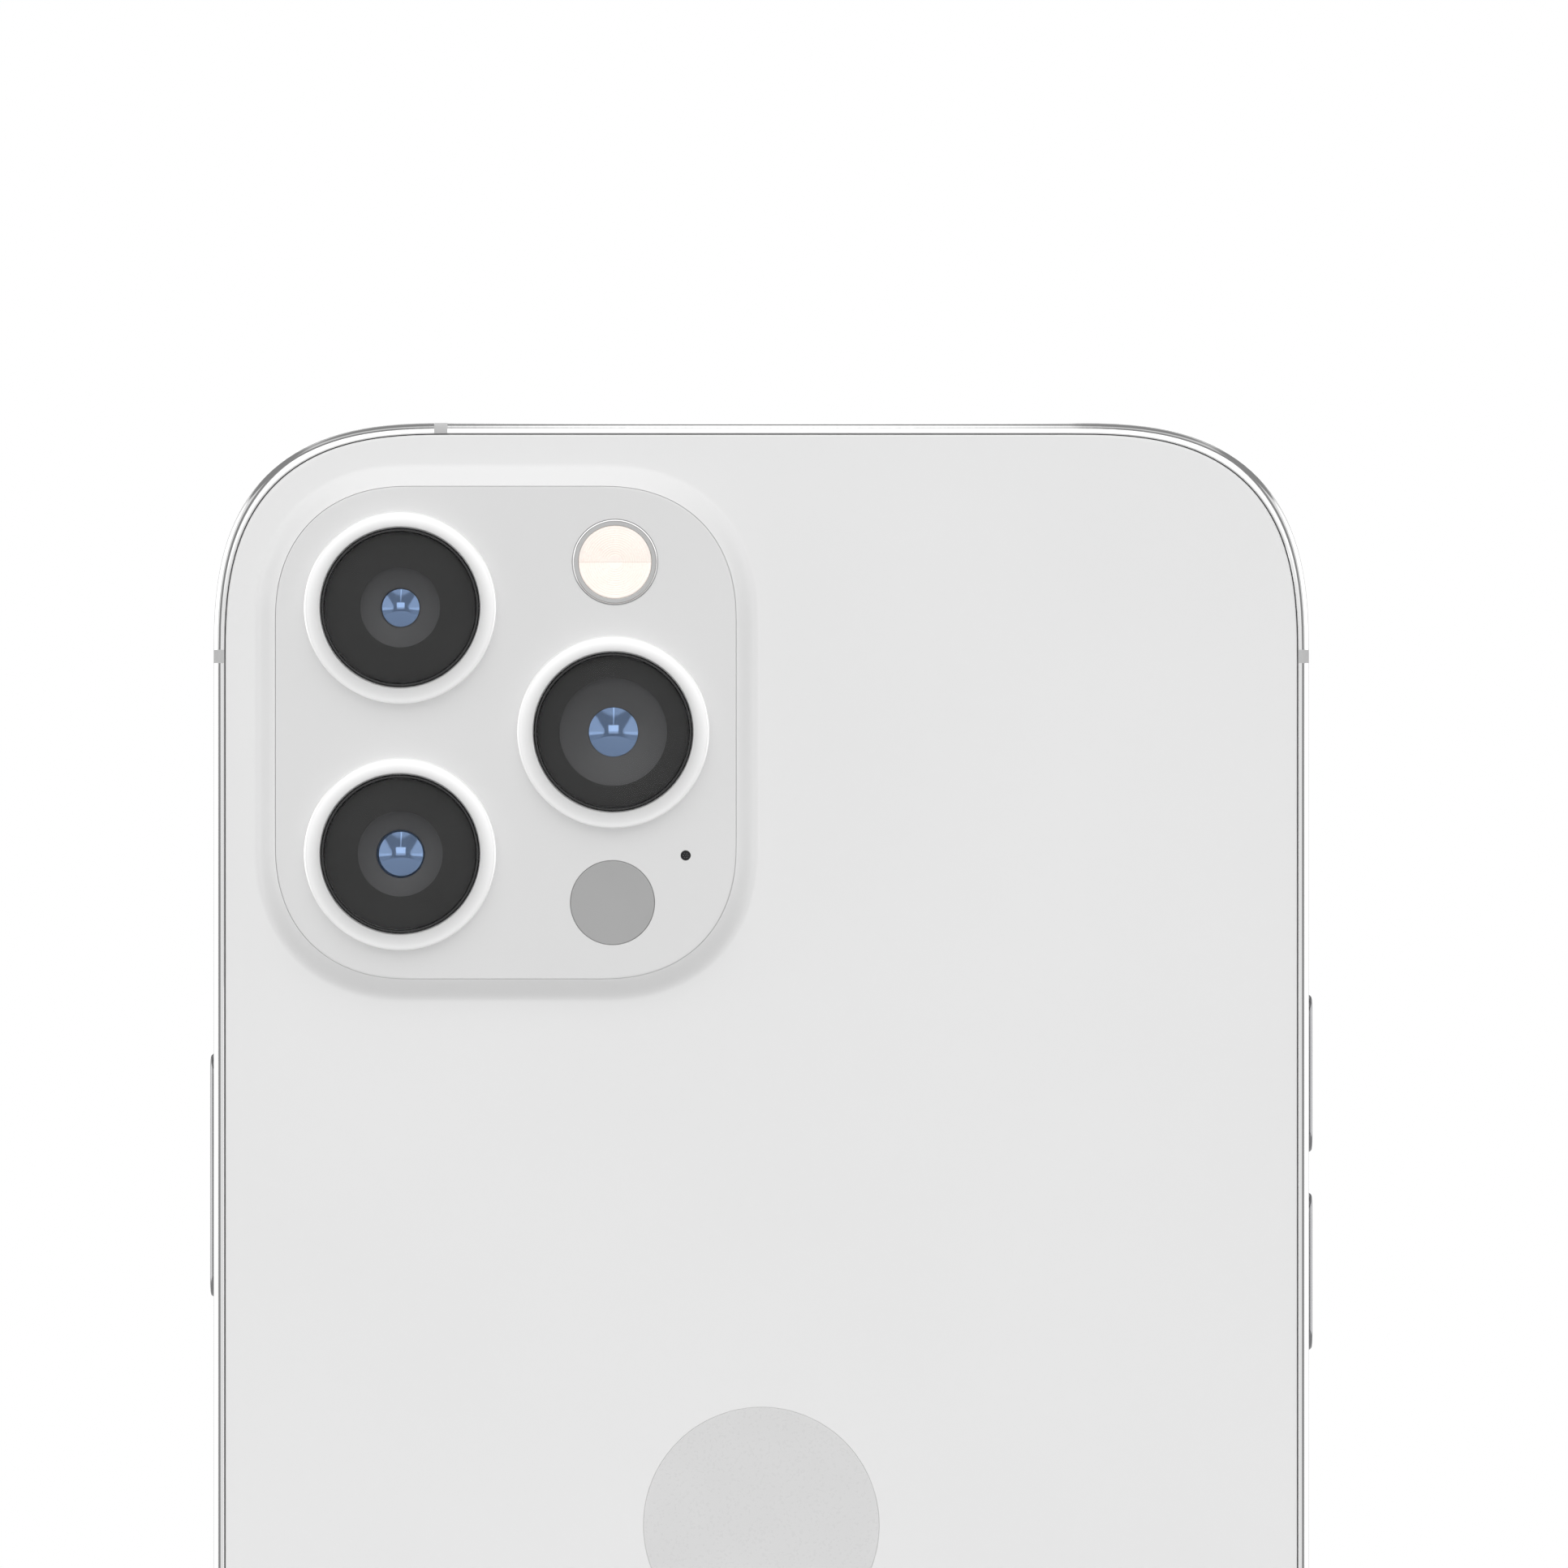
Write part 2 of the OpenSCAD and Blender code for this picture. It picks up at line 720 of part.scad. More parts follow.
module speaker_module() {
    color("dimgray") difference() {
        intersection() {
            plate(y_back_in + 0.1, y_plate - 0.2) span([-34, -9.2], [frame_wall + 0.3, 20.6]);
            plate(y_back, y_front) body_outline(frame_wall + 0.25);
        }
        for (i = [0:speaker_holes - 1])
            translate([-grille_x - i * grille_pitch, 0, 0]) cylinder(d = grille_d, h = 6);
    }
}

// Open box in which the vibrating mass slides
module haptic_housing() {
    color("silver") difference() {
        plate(y_back_in + 0.5, y_plate - 0.3) span(haptic_x, haptic_z);
        plate(y_back_in + 0.5 + haptic_wall, y_plate)
            span([haptic_x[0] + haptic_wall, haptic_x[1] - haptic_wall],
                 [haptic_z[0] + haptic_wall, haptic_z[1] - haptic_wall]);
    }
}

module haptic_mass() {
    color("gray") plate(y_back_in + 0.7 + haptic_wall, y_plate - 0.5)
        span([haptic_x[0] + haptic_wall + haptic_play, haptic_x[1] - haptic_wall - haptic_play],
             [haptic_z[0] + haptic_wall + 0.3, haptic_z[1] - haptic_wall - 0.3]);
}

// Card reader cage on its base plate, with two ears that guide the eject rod and the post
// that the eject lever turns on
module sim_reader() {
    base_top = reader_y[0] + 0.2;
    color("silver") difference() {
        union() {
            plate(reader_y[0], base_top)
                span([x_lever - 1.6, reader_x[1]], [tray_z + rod_dz - 1, tray_z + 6.2]);
            plate(reader_y[0], reader_y[1]) span(reader_x, [tray_z - 6.2, tray_z + 6.2]);
            for (x = [26, 33])
                plate(reader_y[0], 0.75)
                    span([x, x + 1.2], [tray_z + rod_dz - 1, tray_z - 6.1]);
            y_rod(x_lever, tray_z + lever_dz, pivot_d, reader_y[0], 0.6);
        }
        side_plate(reader_x[0] - cut, reader_x[1] + cut)
            translate([0, tray_z]) square([arm_t + 0.2, arm_l + 0.3], center = true);
        rod_hole(reader_x[0], reader_x[1]);
    }
}

// Tray with the head that fills the slot in the rail, the eject hole and the card's seat
module sim_tray() {
    x_head = half_w - pocket_depth + pocket_gap;
    y_seat = arm_t / 2 - card_t - 0.03;
    seat = [x_card - 0.05, x_card + card_l + 0.05];
    color("gainsboro") difference() {
        union() {
            side_plate(x_head, half_w - 0.06) translate([0, tray_z]) pill(tray_w, tray_l);
            plate(-arm_t / 2, arm_t / 2)
                span([x_tray_end, x_head + slack], [tray_z - arm_l / 2, tray_z + arm_l / 2]);
        }
        x_rod(0, tray_z + rod_dz, eject_hole_d, x_head - cut, x_out);
        plate(y_seat, arm_t) translate([0, tray_z])
            span(seat, [-card_w / 2 - 0.05, card_w / 2 + 0.05]);
        plate(-arm_t, arm_t) translate([0, tray_z])
            span([seat[0] + 1.2, seat[1] - 1.2], [-card_w / 2 + 1, card_w / 2 - 1]);
    }
}

// Card with one clipped corner
module sim_card() {
    clip = 1.65;
    x_far = x_card + card_l;
    color("gold") plate(arm_t / 2 - card_t - 0.02, arm_t / 2 - 0.02) translate([0, tray_z])
        polygon([[x_card, -card_w / 2], [x_far, -card_w / 2], [x_far, card_w / 2],
                 [x_card + clip, card_w / 2], [x_card, card_w / 2 - clip]]);
}

module eject_rod() {
    color("silver") side_plate(x_lever + lever_w / 2 + 0.15, half_w - pocket_depth - 0.2)
        translate([0, tray_z + rod_dz]) square(rod_w, center = true);
}

module eject_lever() {
    eye_d = 2;
    color("goldenrod") difference() {
        plate(-0.4, 0.4) {
            span([x_lever - lever_w / 2, x_lever + lever_w / 2],
                 [tray_z + rod_dz - 0.5, tray_z + 0.4]);
            translate([x_lever, tray_z + lever_dz]) circle(d = eye_d);
        }
        y_rod(x_lever, tray_z + lever_dz, pivot_hole_d, -cut, cut);
    }
}

module side_button() {
    color("silver") mirror([1, 0, 0]) button(side_button_l, side_button_z);
}

module volume_up_button() {
    color("silver") button(volume_button_l, volume_up_z);
}

module volume_down_button() {
    color("silver") button(volume_button_l, volume_down_z);
}

// Slider of the mute switch, at rest towards the screen
module mute_switch() {
    x_knob = half_w - pocket_depth + 0.2;
    x_slide = x_cavity - 0.25;
    color("silver") translate([0, mute_travel / 2, mute_z]) {
        side_plate(x_knob, half_w + mute_proud) rounded(mute_w, mute_l, 0.6);
        side_plate(x_slide, x_knob) square([0.8, 2], center = true);
        side_plate(x_slide - 0.4, x_slide) square([1.2, 3.6], center = true);
    }
}

// Flexible strip with the dome switches of one button, on the +X side
module switch_strip(z0, z1, domes) {
    side_plate(switch_x - 1.1, switch_x - 0.9) span([-1.2, 1.2], [z0, z1]);
    for (z = domes) x_rod(0, z, 1.6, switch_x - 0.9, switch_x);
}

module button_switches() {
    up = volume_button_l / 2 - post_inset;
    side = side_button_l / 2 - post_inset;
    color("goldenrod") {
        switch_strip(volume_down_z - 6, mute_z + 2.5,
                     [volume_down_z - up, volume_down_z + up, volume_up_z - up, volume_up_z + up]);
        side_plate(switch_x - 0.9, switch_x - 0.05)
            translate([0, mute_z]) square([2.4, 3], center = true);
        mirror([1, 0, 0]) switch_strip(side_button_z - side - 1.5, side_button_z + side + 1.5,
                                       [side_button_z - side, side_button_z + side]);
    }
}

// The same screw at the two bottom holes and at the four posts of the logic board
module screws() {
    color("silver") {
        for (s = [-1, 1]) translate([s * screw_x, 0, screw_sink]) screw();
        for (x = standoff_x, z = standoff_z)
            translate([x, y_board - head_t, z]) rotate([-90, 0, 0]) screw();
    }
}

left_rail();
right_rail();
top_band();
top_left_corner();
bottom_band();
bottom_right_corner();
antenna_breaks();
midplate();
back_glass();
camera_deck();
back_inlay();
tele_ring();
wide_ring();
ultrawide_ring();
tele_cover_glass();
wide_cover_glass();
ultrawide_cover_glass();
tele_barrel();
wide_barrel();
ultrawide_barrel();
tele_front_lens();
wide_front_lens();
ultrawide_front_lens();
tele_module();
wide_module();
ultrawide_module();
camera_bracket();
flash_bezel();
flash_lens();
flash_board();
depth_window();
depth_module();
rear_mic_mesh();
display_glass();
display_panel();
earpiece_mesh();
earpiece_speaker();
front_camera();
face_sensor_module();
battery();
logic_board();
board_shields();
charge_coil();
magnet_ring();
port_shell();
port_tongue();
speaker_module();
haptic_housing();
haptic_mass();
sim_reader();
sim_tray();
sim_card();
eject_rod();
eject_lever();
side_button();
volume_up_button();
volume_down_button();
mute_switch();
button_switches();
screws();
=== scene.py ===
"""Looks of the smartphone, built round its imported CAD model.

Shapes are drawn in millimetres in the row frame and scaled to metres when a piece is made.
-Y is the back of the phone, +Y its screen, +Z its top edge.
"""

import json
import math

import bmesh
import bpy
from mathutils import Matrix, Vector


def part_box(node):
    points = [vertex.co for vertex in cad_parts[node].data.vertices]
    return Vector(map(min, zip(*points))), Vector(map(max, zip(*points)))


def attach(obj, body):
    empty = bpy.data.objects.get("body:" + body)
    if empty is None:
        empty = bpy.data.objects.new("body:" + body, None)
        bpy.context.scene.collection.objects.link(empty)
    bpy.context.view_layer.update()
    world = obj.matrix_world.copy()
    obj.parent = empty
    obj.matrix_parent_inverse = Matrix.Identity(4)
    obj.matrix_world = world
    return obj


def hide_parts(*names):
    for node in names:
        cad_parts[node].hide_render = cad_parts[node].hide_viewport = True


MM = 0.001
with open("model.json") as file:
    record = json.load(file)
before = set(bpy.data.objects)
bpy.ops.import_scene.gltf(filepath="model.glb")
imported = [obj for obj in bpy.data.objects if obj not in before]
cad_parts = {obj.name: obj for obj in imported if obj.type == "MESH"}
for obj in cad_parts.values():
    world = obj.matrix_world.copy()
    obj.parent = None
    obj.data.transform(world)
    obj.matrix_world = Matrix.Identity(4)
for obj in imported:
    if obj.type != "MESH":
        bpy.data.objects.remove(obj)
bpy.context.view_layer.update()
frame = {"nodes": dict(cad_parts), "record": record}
SLOT = {row["node"]: row["material_slot"] for row in frame["record"]["subparts"]}
BODY = {
    node: body
    for body, nodes in frame["record"]["behaviour"]["bodies"].items()
    for node in nodes
}


def box_mm(*nodes):
    """Lowest and highest corner of CAD nodes, in millimetres."""
    corners = [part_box(n) for n in nodes]
    low = [min(c[0][i] for c in corners) / MM for i in range(3)]
    high = [max(c[1][i] for c in corners) / MM for i in range(3)]
    return low, high


def side_mm(node):
    """Middle height, length and width of a piece set in a side rail."""
    low, high = box_mm(node)
    return (low[2] + high[2]) / 2, high[2] - low[2], high[1] - low[1]


def round_mm(node):
    """Centre x and z, radius, and lowest and highest y of a round piece with its axis along Y."""
    low, high = box_mm(node)
    x, z = (low[0] + high[0]) / 2, (low[2] + high[2]) / 2
    return x, z, (high[0] - low[0]) / 2, low[1], high[1]


# -------------------------------- sizes
low, high = box_mm("antenna_breaks")
WIDTH = high[0] - low[0]
HEIGHT = high[2] - low[2]
Y_BACK = low[1]
Y_FRONT = high[1]
REACH = 17.0  # length of the body's corners along each edge
POWER = 2.775  # of their superellipse
WALL = 2.4  # depth of the frame from its outside
RIM = 0.78  # width of its rim round the glasses
GLASS_INSET = 0.84
GLASS_EASE = 0.14
Y_BACK_IN = box_mm("back_glass")[1][1]
Y_FRONT_IN = box_mm("display_glass")[0][1]
BREAK_Z = 16.66  # from the top and bottom edges to the breaks in the sides
BREAK_X = 22.85  # from the middle to the breaks in the top and bottom edges
BREAK_W = 0.95

low, high = box_mm("camera_deck")
SLACK = 0.02
DECK = [(low[0] + high[0]) / 2, (low[2] + high[2]) / 2]
DECK_W = high[0] - low[0] + 2 * SLACK
DECK_H = high[2] - low[2] + 2 * SLACK
Y_DECK = low[1]
Y_DECK_IN = high[1]
DECK_REACH = 9.6
DECK_POWER = 2.27
FLARE_W = 1.6
FLARE_TURN = 0.8 * math.pi  # how far the flare's wave goes before the deck cuts it off
FLARE_STEPS = 22
LEDGE = 1.2

CAMERAS = ("tele", "wide", "ultrawide")
FUNNEL_D = {"tele": 5.67, "wide": 6.05, "ultrawide": 7.66}
SLEEVE_D = 12.9
RING_INNER = 5.4
RING_ROUND = 0.2
BORE_GAP = 0.05
LENS_STEPS = 40
LENS_DEPTH = 0.15  # of the front lens's middle below the mouth of its barrel

POCKET = 1.5
POCKET_GAP = 0.08
POST_IN = 2.2  # from a button's end to the post under it
MUTE_W = 1.9
MUTE_TRAVEL = 1.3
MUTE_Y = 0.65
EJECT_Z = -6.6  # of the eject hole and its rod from the tray's middle


# -------------------------------- mesh building
class Shape:
    """A mesh being built in millimetres."""

    def __init__(self):
        self.bm = bmesh.new()

    def ring(self, points):
        return [self.bm.verts.new(p) for p in points]

    def skin(self, a, b, slot=0):
        """Faces between two rings, either of which may be a single point."""
        n = max(len(a), len(b))
        for i in range(n):
            corners = [a[i % len(a)], a[(i + 1) % len(a)], b[(i + 1) % len(b)], b[i % len(b)]]
            unique = [v for k, v in enumerate(corners) if v not in corners[:k]]
            self.bm.faces.new(unique).material_index = slot

    def cap(self, ring, slot=0):
        self.bm.faces.new(ring).material_index = slot

    def tube(self, rings, closed=False):
        """Skin through rings of points, and back to the first one where it is closed."""
        made = [self.ring(r) for r in rings]
        for a, b in zip(made, made[1:]):
            self.skin(a, b)
        if closed:
            self.skin(made[-1], made[0])
        return made

    def loft(self, rings):
        """Solid through rings of points."""
        made = self.tube(rings)
        self.cap(made[0])
        self.cap(made[-1])

    def fill(self, rings, slot=0):
        """Flat face between an outer ring and the holes in it."""
        edges = []
        for ring in rings:
            for i in range(len(ring)):
                pair = (ring[i], ring[(i + 1) % len(ring)])
                edges.append(self.bm.edges.get(pair) or self.bm.edges.new(pair))
        made = bmesh.ops.triangle_fill(self.bm, edges=edges, use_beauty=True)
        for face in made["geom"]:
            if isinstance(face, bmesh.types.BMFace):
                face.material_index = slot

    def turned(self, x, z, profile, count=128, closed=False):
        """Piece turned about an axis along Y through (x, z): profile holds (radius, y)."""
        rings = [circle(x, z, r, y, count) if r else [(x, y, z)] for r, y in profile]
        return self.tube(rings, closed)

    def mesh(self, name):
        bmesh.ops.recalc_face_normals(self.bm, faces=self.bm.faces)
        made = bpy.data.meshes.new(name)
        self.bm.to_mesh(made)
        self.bm.free()
        return made


def circle(x, z, r, y, count=128):
    step = 2 * math.pi / count
    return [(x + r * math.cos(i * step), y, z + r * math.sin(i * step)) for i in range(count)]


def angles(a, b, steps):
    """Angles from a to b, given in degrees and returned in radians."""
    return [math.radians(a + (b - a) * i / steps) for i in range(steps + 1)]


def arc(cx, cy, r, a0, a1, steps):
    """Points of an arc from angle a0 to a1, in degrees."""
    return [(cx + r * math.cos(a), cy + r * math.sin(a)) for a in angles(a0, a1, steps)]


def disc(r, count=32):
    return arc(0, 0, r, 0, 360 - 360 / count, count - 1)


def rectangle(a, b):
    """Rectangle 2a wide and 2b long."""
    return [(-a, -b), (a, -b), (a, b), (-a, b)]


def corner(reach, power, degrees):
    """Point of a superellipse corner, from its own centre."""
    c = max(math.cos(math.radians(degrees)), 0.0)
    s = max(math.sin(math.radians(degrees)), 0.0)
    return reach * c ** (2 / power), reach * s ** (2 / power)


def outline(w, h, reach, power, steps=36):
    """Rounded outline with superellipse corners, centred on the origin."""
    points = []
    for quarter in range(4):
        sx = 1 if quarter in (0, 3) else -1
        sz = 1 if quarter < 2 else -1
        for i in range(steps + 1):
            k = i if quarter % 2 == 0 else steps - i
            dx, dz = corner(reach, power, 90 * k / steps)
            points.append((sx * (w / 2 - reach + dx), sz * (h / 2 - reach + dz)))
    return points


def body_ring(inset, y):
    flat = outline(WIDTH - 2 * inset, HEIGHT - 2 * inset, REACH - inset, POWER)
    return on_back(flat, y, 0, HEIGHT / 2)


def deck_ring(inset, y):
    flat = outline(DECK_W - 2 * inset, DECK_H - 2 * inset, DECK_REACH - inset, DECK_POWER, 28)
    return on_back(flat, y, *DECK)


def pill(w, l, steps=20):
    """Pill w wide and l long, as points (across, along)."""
    r = min(w, l) / 2
    if l >= w:
        return arc(0, l / 2 - r, r, 0, 180, steps) + arc(0, r - l / 2, r, 180, 360, steps)
    return arc(w / 2 - r, 0, r, -90, 90, steps) + arc(r - w / 2, 0, r, 90, 270, steps)


def rounded(w, l, r, steps=8):
    """Rectangle w wide and l long with round corners."""
    points = []
    for k, (sx, sz) in enumerate(((1, 1), (-1, 1), (-1, -1), (1, -1))):
        points += arc(sx * (w / 2 - r), sz * (l / 2 - r), r, 90 * k, 90 * (k + 1), steps)
    return points


def on_side(points, x, y0, z0):
    """Points (across, along) laid on a plane of constant X."""
    return [(x, y0 + u, z0 + v) for u, v in points]


def on_back(points, y, x0, z0):
    """Points (x, z) laid on a plane of constant Y."""
    return [(x0 + u, y, z0 + v) for u, v in points]


def on_floor(points, z, x0, y0=0.0):
    """Points (x, y) laid on a plane of constant Z."""
    return [(x0 + u, y0 + v, z) for u, v in points]


def make(name, shape, node, material=None, sharp=28, cutters=(), body=None, replace=True):
    """Turns a shape into a piece that rides on its CAD node's body and stands for the node."""
    obj = bpy.data.objects.new(name, shape.mesh(name))
    bpy.context.scene.collection.objects.link(obj)
    if cutters:
        carve(obj, cutters)
    mesh = obj.data
    mesh.transform(Matrix.Scale(MM, 4))
    mesh.shade_smooth()
    mesh.set_sharp_from_angle(angle=math.radians(sharp))
    for m in material if isinstance(material, list) else [material or MATERIALS[SLOT[node]]]:
        mesh.materials.append(m)
    weighted = obj.modifiers.new("Even shading", "WEIGHTED_NORMAL")
    weighted.keep_sharp = True
    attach(obj, body or BODY[node])
    if replace:
        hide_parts(node)
    return obj


def carve(obj, cutters):
    """Cuts shapes out of an object that is still in millimetres."""
    tools = []
    for shape in cutters:
        tool = bpy.data.objects.new("cutter", shape.mesh("cutter"))
        bpy.context.scene.collection.objects.link(tool)
        modifier = obj.modifiers.new("Cut", "BOOLEAN")
        modifier.solver = "EXACT"
        modifier.operation = "DIFFERENCE"
        modifier.object = tool
        tools.append(tool)
    graph = bpy.context.evaluated_depsgraph_get()
    graph.update()
    result = bpy.data.meshes.new_from_object(obj.evaluated_get(graph))
    obj.modifiers.clear()
    obj.data = result
    for tool in tools:
        bpy.data.objects.remove(tool)


# -------------------------------- materials
def new_node(tree, kind, values=(), **settings):
    node = tree.nodes.new(kind)
    for key, value in settings.items():
        setattr(node, key, value)
    for key, value in dict(values).items():
        node.inputs[key].default_value = value
    return node


def feed(tree, socket, value):
    """Links a socket to an output, or sets it to a constant."""
    if isinstance(value, bpy.types.NodeSocket):
        tree.links.new(value, socket)
    else:
        socket.default_value = value


def linear(srgb):
    """sRGB values from 0 to 255, or one such value for a grey, as a linear colour."""
    parts = [c / 255 for c in (srgb if isinstance(srgb, tuple) else (srgb,) * 3)]
    return tuple(c / 12.92 if c <= 0.04045 else ((c + 0.055) / 1.055) ** 2.4 for c in parts) + (1,)


def grain(tree, size, stretch=(1, 1, 1), detail=4.0):
    """Noise whose grain is size millimetres, drawn out along an axis where stretch is below 1."""
    place = new_node(tree, "ShaderNodeTexCoord")
    scale = new_node(tree, "ShaderNodeMapping", {"Scale": stretch})
    noise = new_node(
        tree, "ShaderNodeTexNoise", {"Scale": 1 / (size * MM), "Detail": detail, "Roughness": 0.55}
    )
    tree.links.new(place.outputs["Object"], scale.inputs["Vector"])
    tree.links.new(scale.outputs["Vector"], noise.inputs["Vector"])
    return noise.outputs["Fac"]


def ramp(tree, value, start, end, low, high, **settings):
    """start..end of a value mapped to low..high."""
    limits = {"From Min": start, "From Max": end, "To Min": low, "To Max": high}
    node = new_node(tree, "ShaderNodeMapRange", limits, **settings)
    tree.links.new(value, node.inputs["Value"])
    return node.outputs["Result"]


def spread(tree, noise, low, high):
    """The middle of a noise's range mapped to low..high."""
    return ramp(tree, noise, 0.3, 0.7, low, high)


def blend_colours(tree, factor, a, b):
    """Colour a where the factor is 0, and b where it is 1."""
    node = new_node(tree, "ShaderNodeMix", data_type="RGBA")
    colours = [i for i in node.inputs if i.type == "RGBA"]
    tree.links.new(factor, node.inputs[0])
    feed(tree, colours[0], a)
    feed(tree, colours[1], b)
    return next(o for o in node.outputs if o.type == "RGBA")


def surface(
    name, colour, rough, metallic=0.0, other=None, size=0.25, stretch=(1, 1, 1),
    rough_vary=0.06, bump=0.001, wide=6.0, **shader,
):
    """Material whose colour drifts between two tones at a wide scale, and whose roughness and
    bump follow a fine grain. Sizes are in millimetres."""
    material = bpy.data.materials.new(name)
    material.use_nodes = True
    tree = material.node_tree
    principled = tree.nodes["Principled BSDF"]
    base = linear(colour)
    second = linear(other) if other else tuple(c * 0.93 for c in base[:3]) + (1,)
    fine = grain(tree, size, stretch)
    drift = spread(tree, grain(tree, wide, stretch, 2.0), 0.0, 1.0)
    tones = blend_colours(tree, drift, base, second)
    tree.links.new(tones, principled.inputs["Base Color"])
    tree.links.new(
        spread(tree, fine, max(rough - rough_vary, 0.02), rough + rough_vary),
        principled.inputs["Roughness"],
    )
    if bump:
        relief = new_node(tree, "ShaderNodeBump", {"Strength": 1.0, "Distance": bump * MM})
        tree.links.new(fine, relief.inputs["Height"])
        tree.links.new(relief.outputs["Normal"], principled.inputs["Normal"])
    principled.inputs["Metallic"].default_value = metallic
    for key, value in shader.items():
        principled.inputs[key.replace("_", " ")].default_value = value
    return material


def clear(name, ior, tint, rough=0.02):
    """Clear coated glass: what lies behind shows through, under a Fresnel reflection."""
    material = surface(name, tint, rough, 1.0, size=2.0, rough_vary=0.005, bump=0.0)
    tree = material.node_tree
    principled = tree.nodes["Principled BSDF"]
    through = new_node(tree, "ShaderNodeBsdfTransparent")
    fresnel = new_node(tree, "ShaderNodeFresnel", {"IOR": ior})
    mix = new_node(tree, "ShaderNodeMixShader")
    tree.links.new(fresnel.outputs["Fac"], mix.inputs[0])
    tree.links.new(through.outputs["BSDF"], mix.inputs[1])
    tree.links.new(principled.outputs["BSDF"], mix.inputs[2])
    tree.links.new(mix.outputs["Shader"], tree.nodes["Material Output"].inputs["Surface"])
    return material


# name, colour, roughness, metallic, second colour
MATERIALS = {
    "frame_steel": surface(
        "Polished steel", 213, 0.08, 1.0, 208,
        size=0.4, stretch=(1, 1, 0.05), rough_vary=0.02, bump=0.0003, wide=14,
    ),
    "break_plastic": surface("Grey break plastic", 190, 0.5, 0, 184, size=0.15),
    "plate_aluminium": surface(
        "Brushed aluminium", (186, 188, 190), 0.42, 1.0, (170, 172, 175),
        size=0.12, stretch=(1, 1, 0.04), rough_vary=0.1, bump=0.002,
    ),
    "frosted_back_glass": surface(
        "Frosted glass", 232, 0.4, 0, 230, size=0.06, rough_vary=0.04, bump=0.0006, wide=30
    ),
    "inlay_grey": surface("Grey inlay", 216, 0.3, 0, 213, size=0.2),
    "ring_steel": surface(
        "Satin steel", 214, 0.35, 1.0, (209, 209, 210),
        size=0.1, rough_vary=0.05, bump=0.0006, wide=5,
    ),
    "cover_glass": clear("Camera cover glass", 1.1, (250, 251, 253)),
    "lens_black": surface(
        "Black anodised barrel", (79, 79, 80), 0.6, 0, (73, 73, 74), size=0.05, bump=0.004
    ),
    "lens_glass": surface(
        "Coated lens glass", (124, 147, 182), 0.022, 0.85, (119, 142, 177),
        size=1.5, rough_vary=0.004, bump=0.0,
    ),
    "module_plastic": surface(
        "Module plastic", (40, 41, 43), 0.5, 0, (30, 31, 33), size=0.08, bump=0.004
    ),
    "pressed_steel": surface(
        "Pressed steel", (178, 180, 183), 0.3, 1.0, (160, 162, 166),
        size=0.2, stretch=(1, 1, 0.1), rough_vary=0.1, bump=0.002, wide=8,
    ),
    "flash_diffuser": surface(
        "Warm flash lens", (252, 245, 239), 0.3, 0, (251, 241, 233),
        size=0.3, bump=0.0005, wide=2.5,
        # The emission makes this unlit flash lens glow faintly: painted light, not a lamp.
        Emission_Color=linear((255, 238, 226)), Emission_Strength=0.1,
    ),
    "board_green": surface(
        "Green board", (26, 62, 44), 0.45, 0, (18, 44, 34), size=0.35, bump=0.01, wide=1.2
    ),
    "sensor_grey": surface("Sensor window", 166, 0.35, 0, 163, size=0.1),
    "mesh_black": surface(
        "Black mesh", (22, 22, 23), 0.6, 0.3, (40, 40, 42), size=0.12, bump=0.02, wide=0.15
    ),
    "display_black_glass": surface(
        "Display border glass", (9, 9, 10), 0.05, 0, (6, 6, 7),
        size=1.5, rough_vary=0.015, bump=0.0, IOR=1.5,
    ),
    "panel_plastic": surface("Panel edge", (22, 24, 34), 0.4, 0, (14, 15, 20), size=0.2),
    "battery_wrap": surface(
        "Battery wrap", (34, 34, 36), 0.45, 0, (52, 52, 55), size=0.5, bump=0.01, wide=4
    ),
    "coil_copper": surface(
        "Copper windings", (186, 112, 62), 0.35, 1.0, (150, 86, 46), size=0.2, bump=0.01, wide=2
    ),
    "magnet_nickel": surface(
        "Nickel plate", (168, 166, 158), 0.25, 1.0, (150, 148, 142), size=0.15
    ),
    "tongue_plastic": surface(
        "Black liquid crystal plastic", (26, 26, 28), 0.45, 0, (18, 18, 20), size=0.1
    ),
    "tungsten": surface(
        "Tungsten alloy", (112, 112, 114), 0.4, 1.0, (92, 92, 96), size=0.12, bump=0.003
    ),
    "button_steel": surface(
        "Button steel", (148, 148, 149), 0.2, 1.0, (140, 140, 142),
        size=0.3, stretch=(1, 1, 0.06), rough_vary=0.04, bump=0.0006, wide=6,
    ),
    "card_plastic": surface(
        "White card plastic", (226, 226, 222), 0.5, 0, (214, 214, 208), size=0.1
    ),
    "lever_brass": surface("Brass lever", (186, 154, 92), 0.35, 1.0, (160, 130, 76), size=0.15),
    "flex_plastic": surface(
        "Polyimide strip", (146, 86, 28), 0.4, 0, (118, 66, 20), size=0.3, wide=1
    ),
    "screw_steel": surface(
        "Screw steel", (182, 183, 186), 0.28, 1.0, (160, 161, 165), size=0.12
    ),
}
DARK_MASK = surface(
    "Cover mask", 55, 0.6, 0, 52, size=0.3, bump=0.0005, Specular_IOR_Level=0.15
)
DECK_GLASS = surface(
    "Camera deck glass", 221, 0.36, 0, 219, size=0.08, rough_vary=0.04, bump=0.0005, wide=20
)
SEAL = surface("Seal", 60, 0.7, 0, 52, size=0.2, bump=0.0005, Specular_IOR_Level=0.1)
BLACK_BEZEL = surface("Black bezel", (14, 14, 15), 0.25, 0, (8, 8, 9), size=0.2, bump=0.0005)
ACTIVE_AREA = surface(
    "Display glass over the panel", (5, 6, 9), 0.04, 0, (4, 5, 7),
    size=1.5, rough_vary=0.01, bump=0.0, IOR=1.5,
)
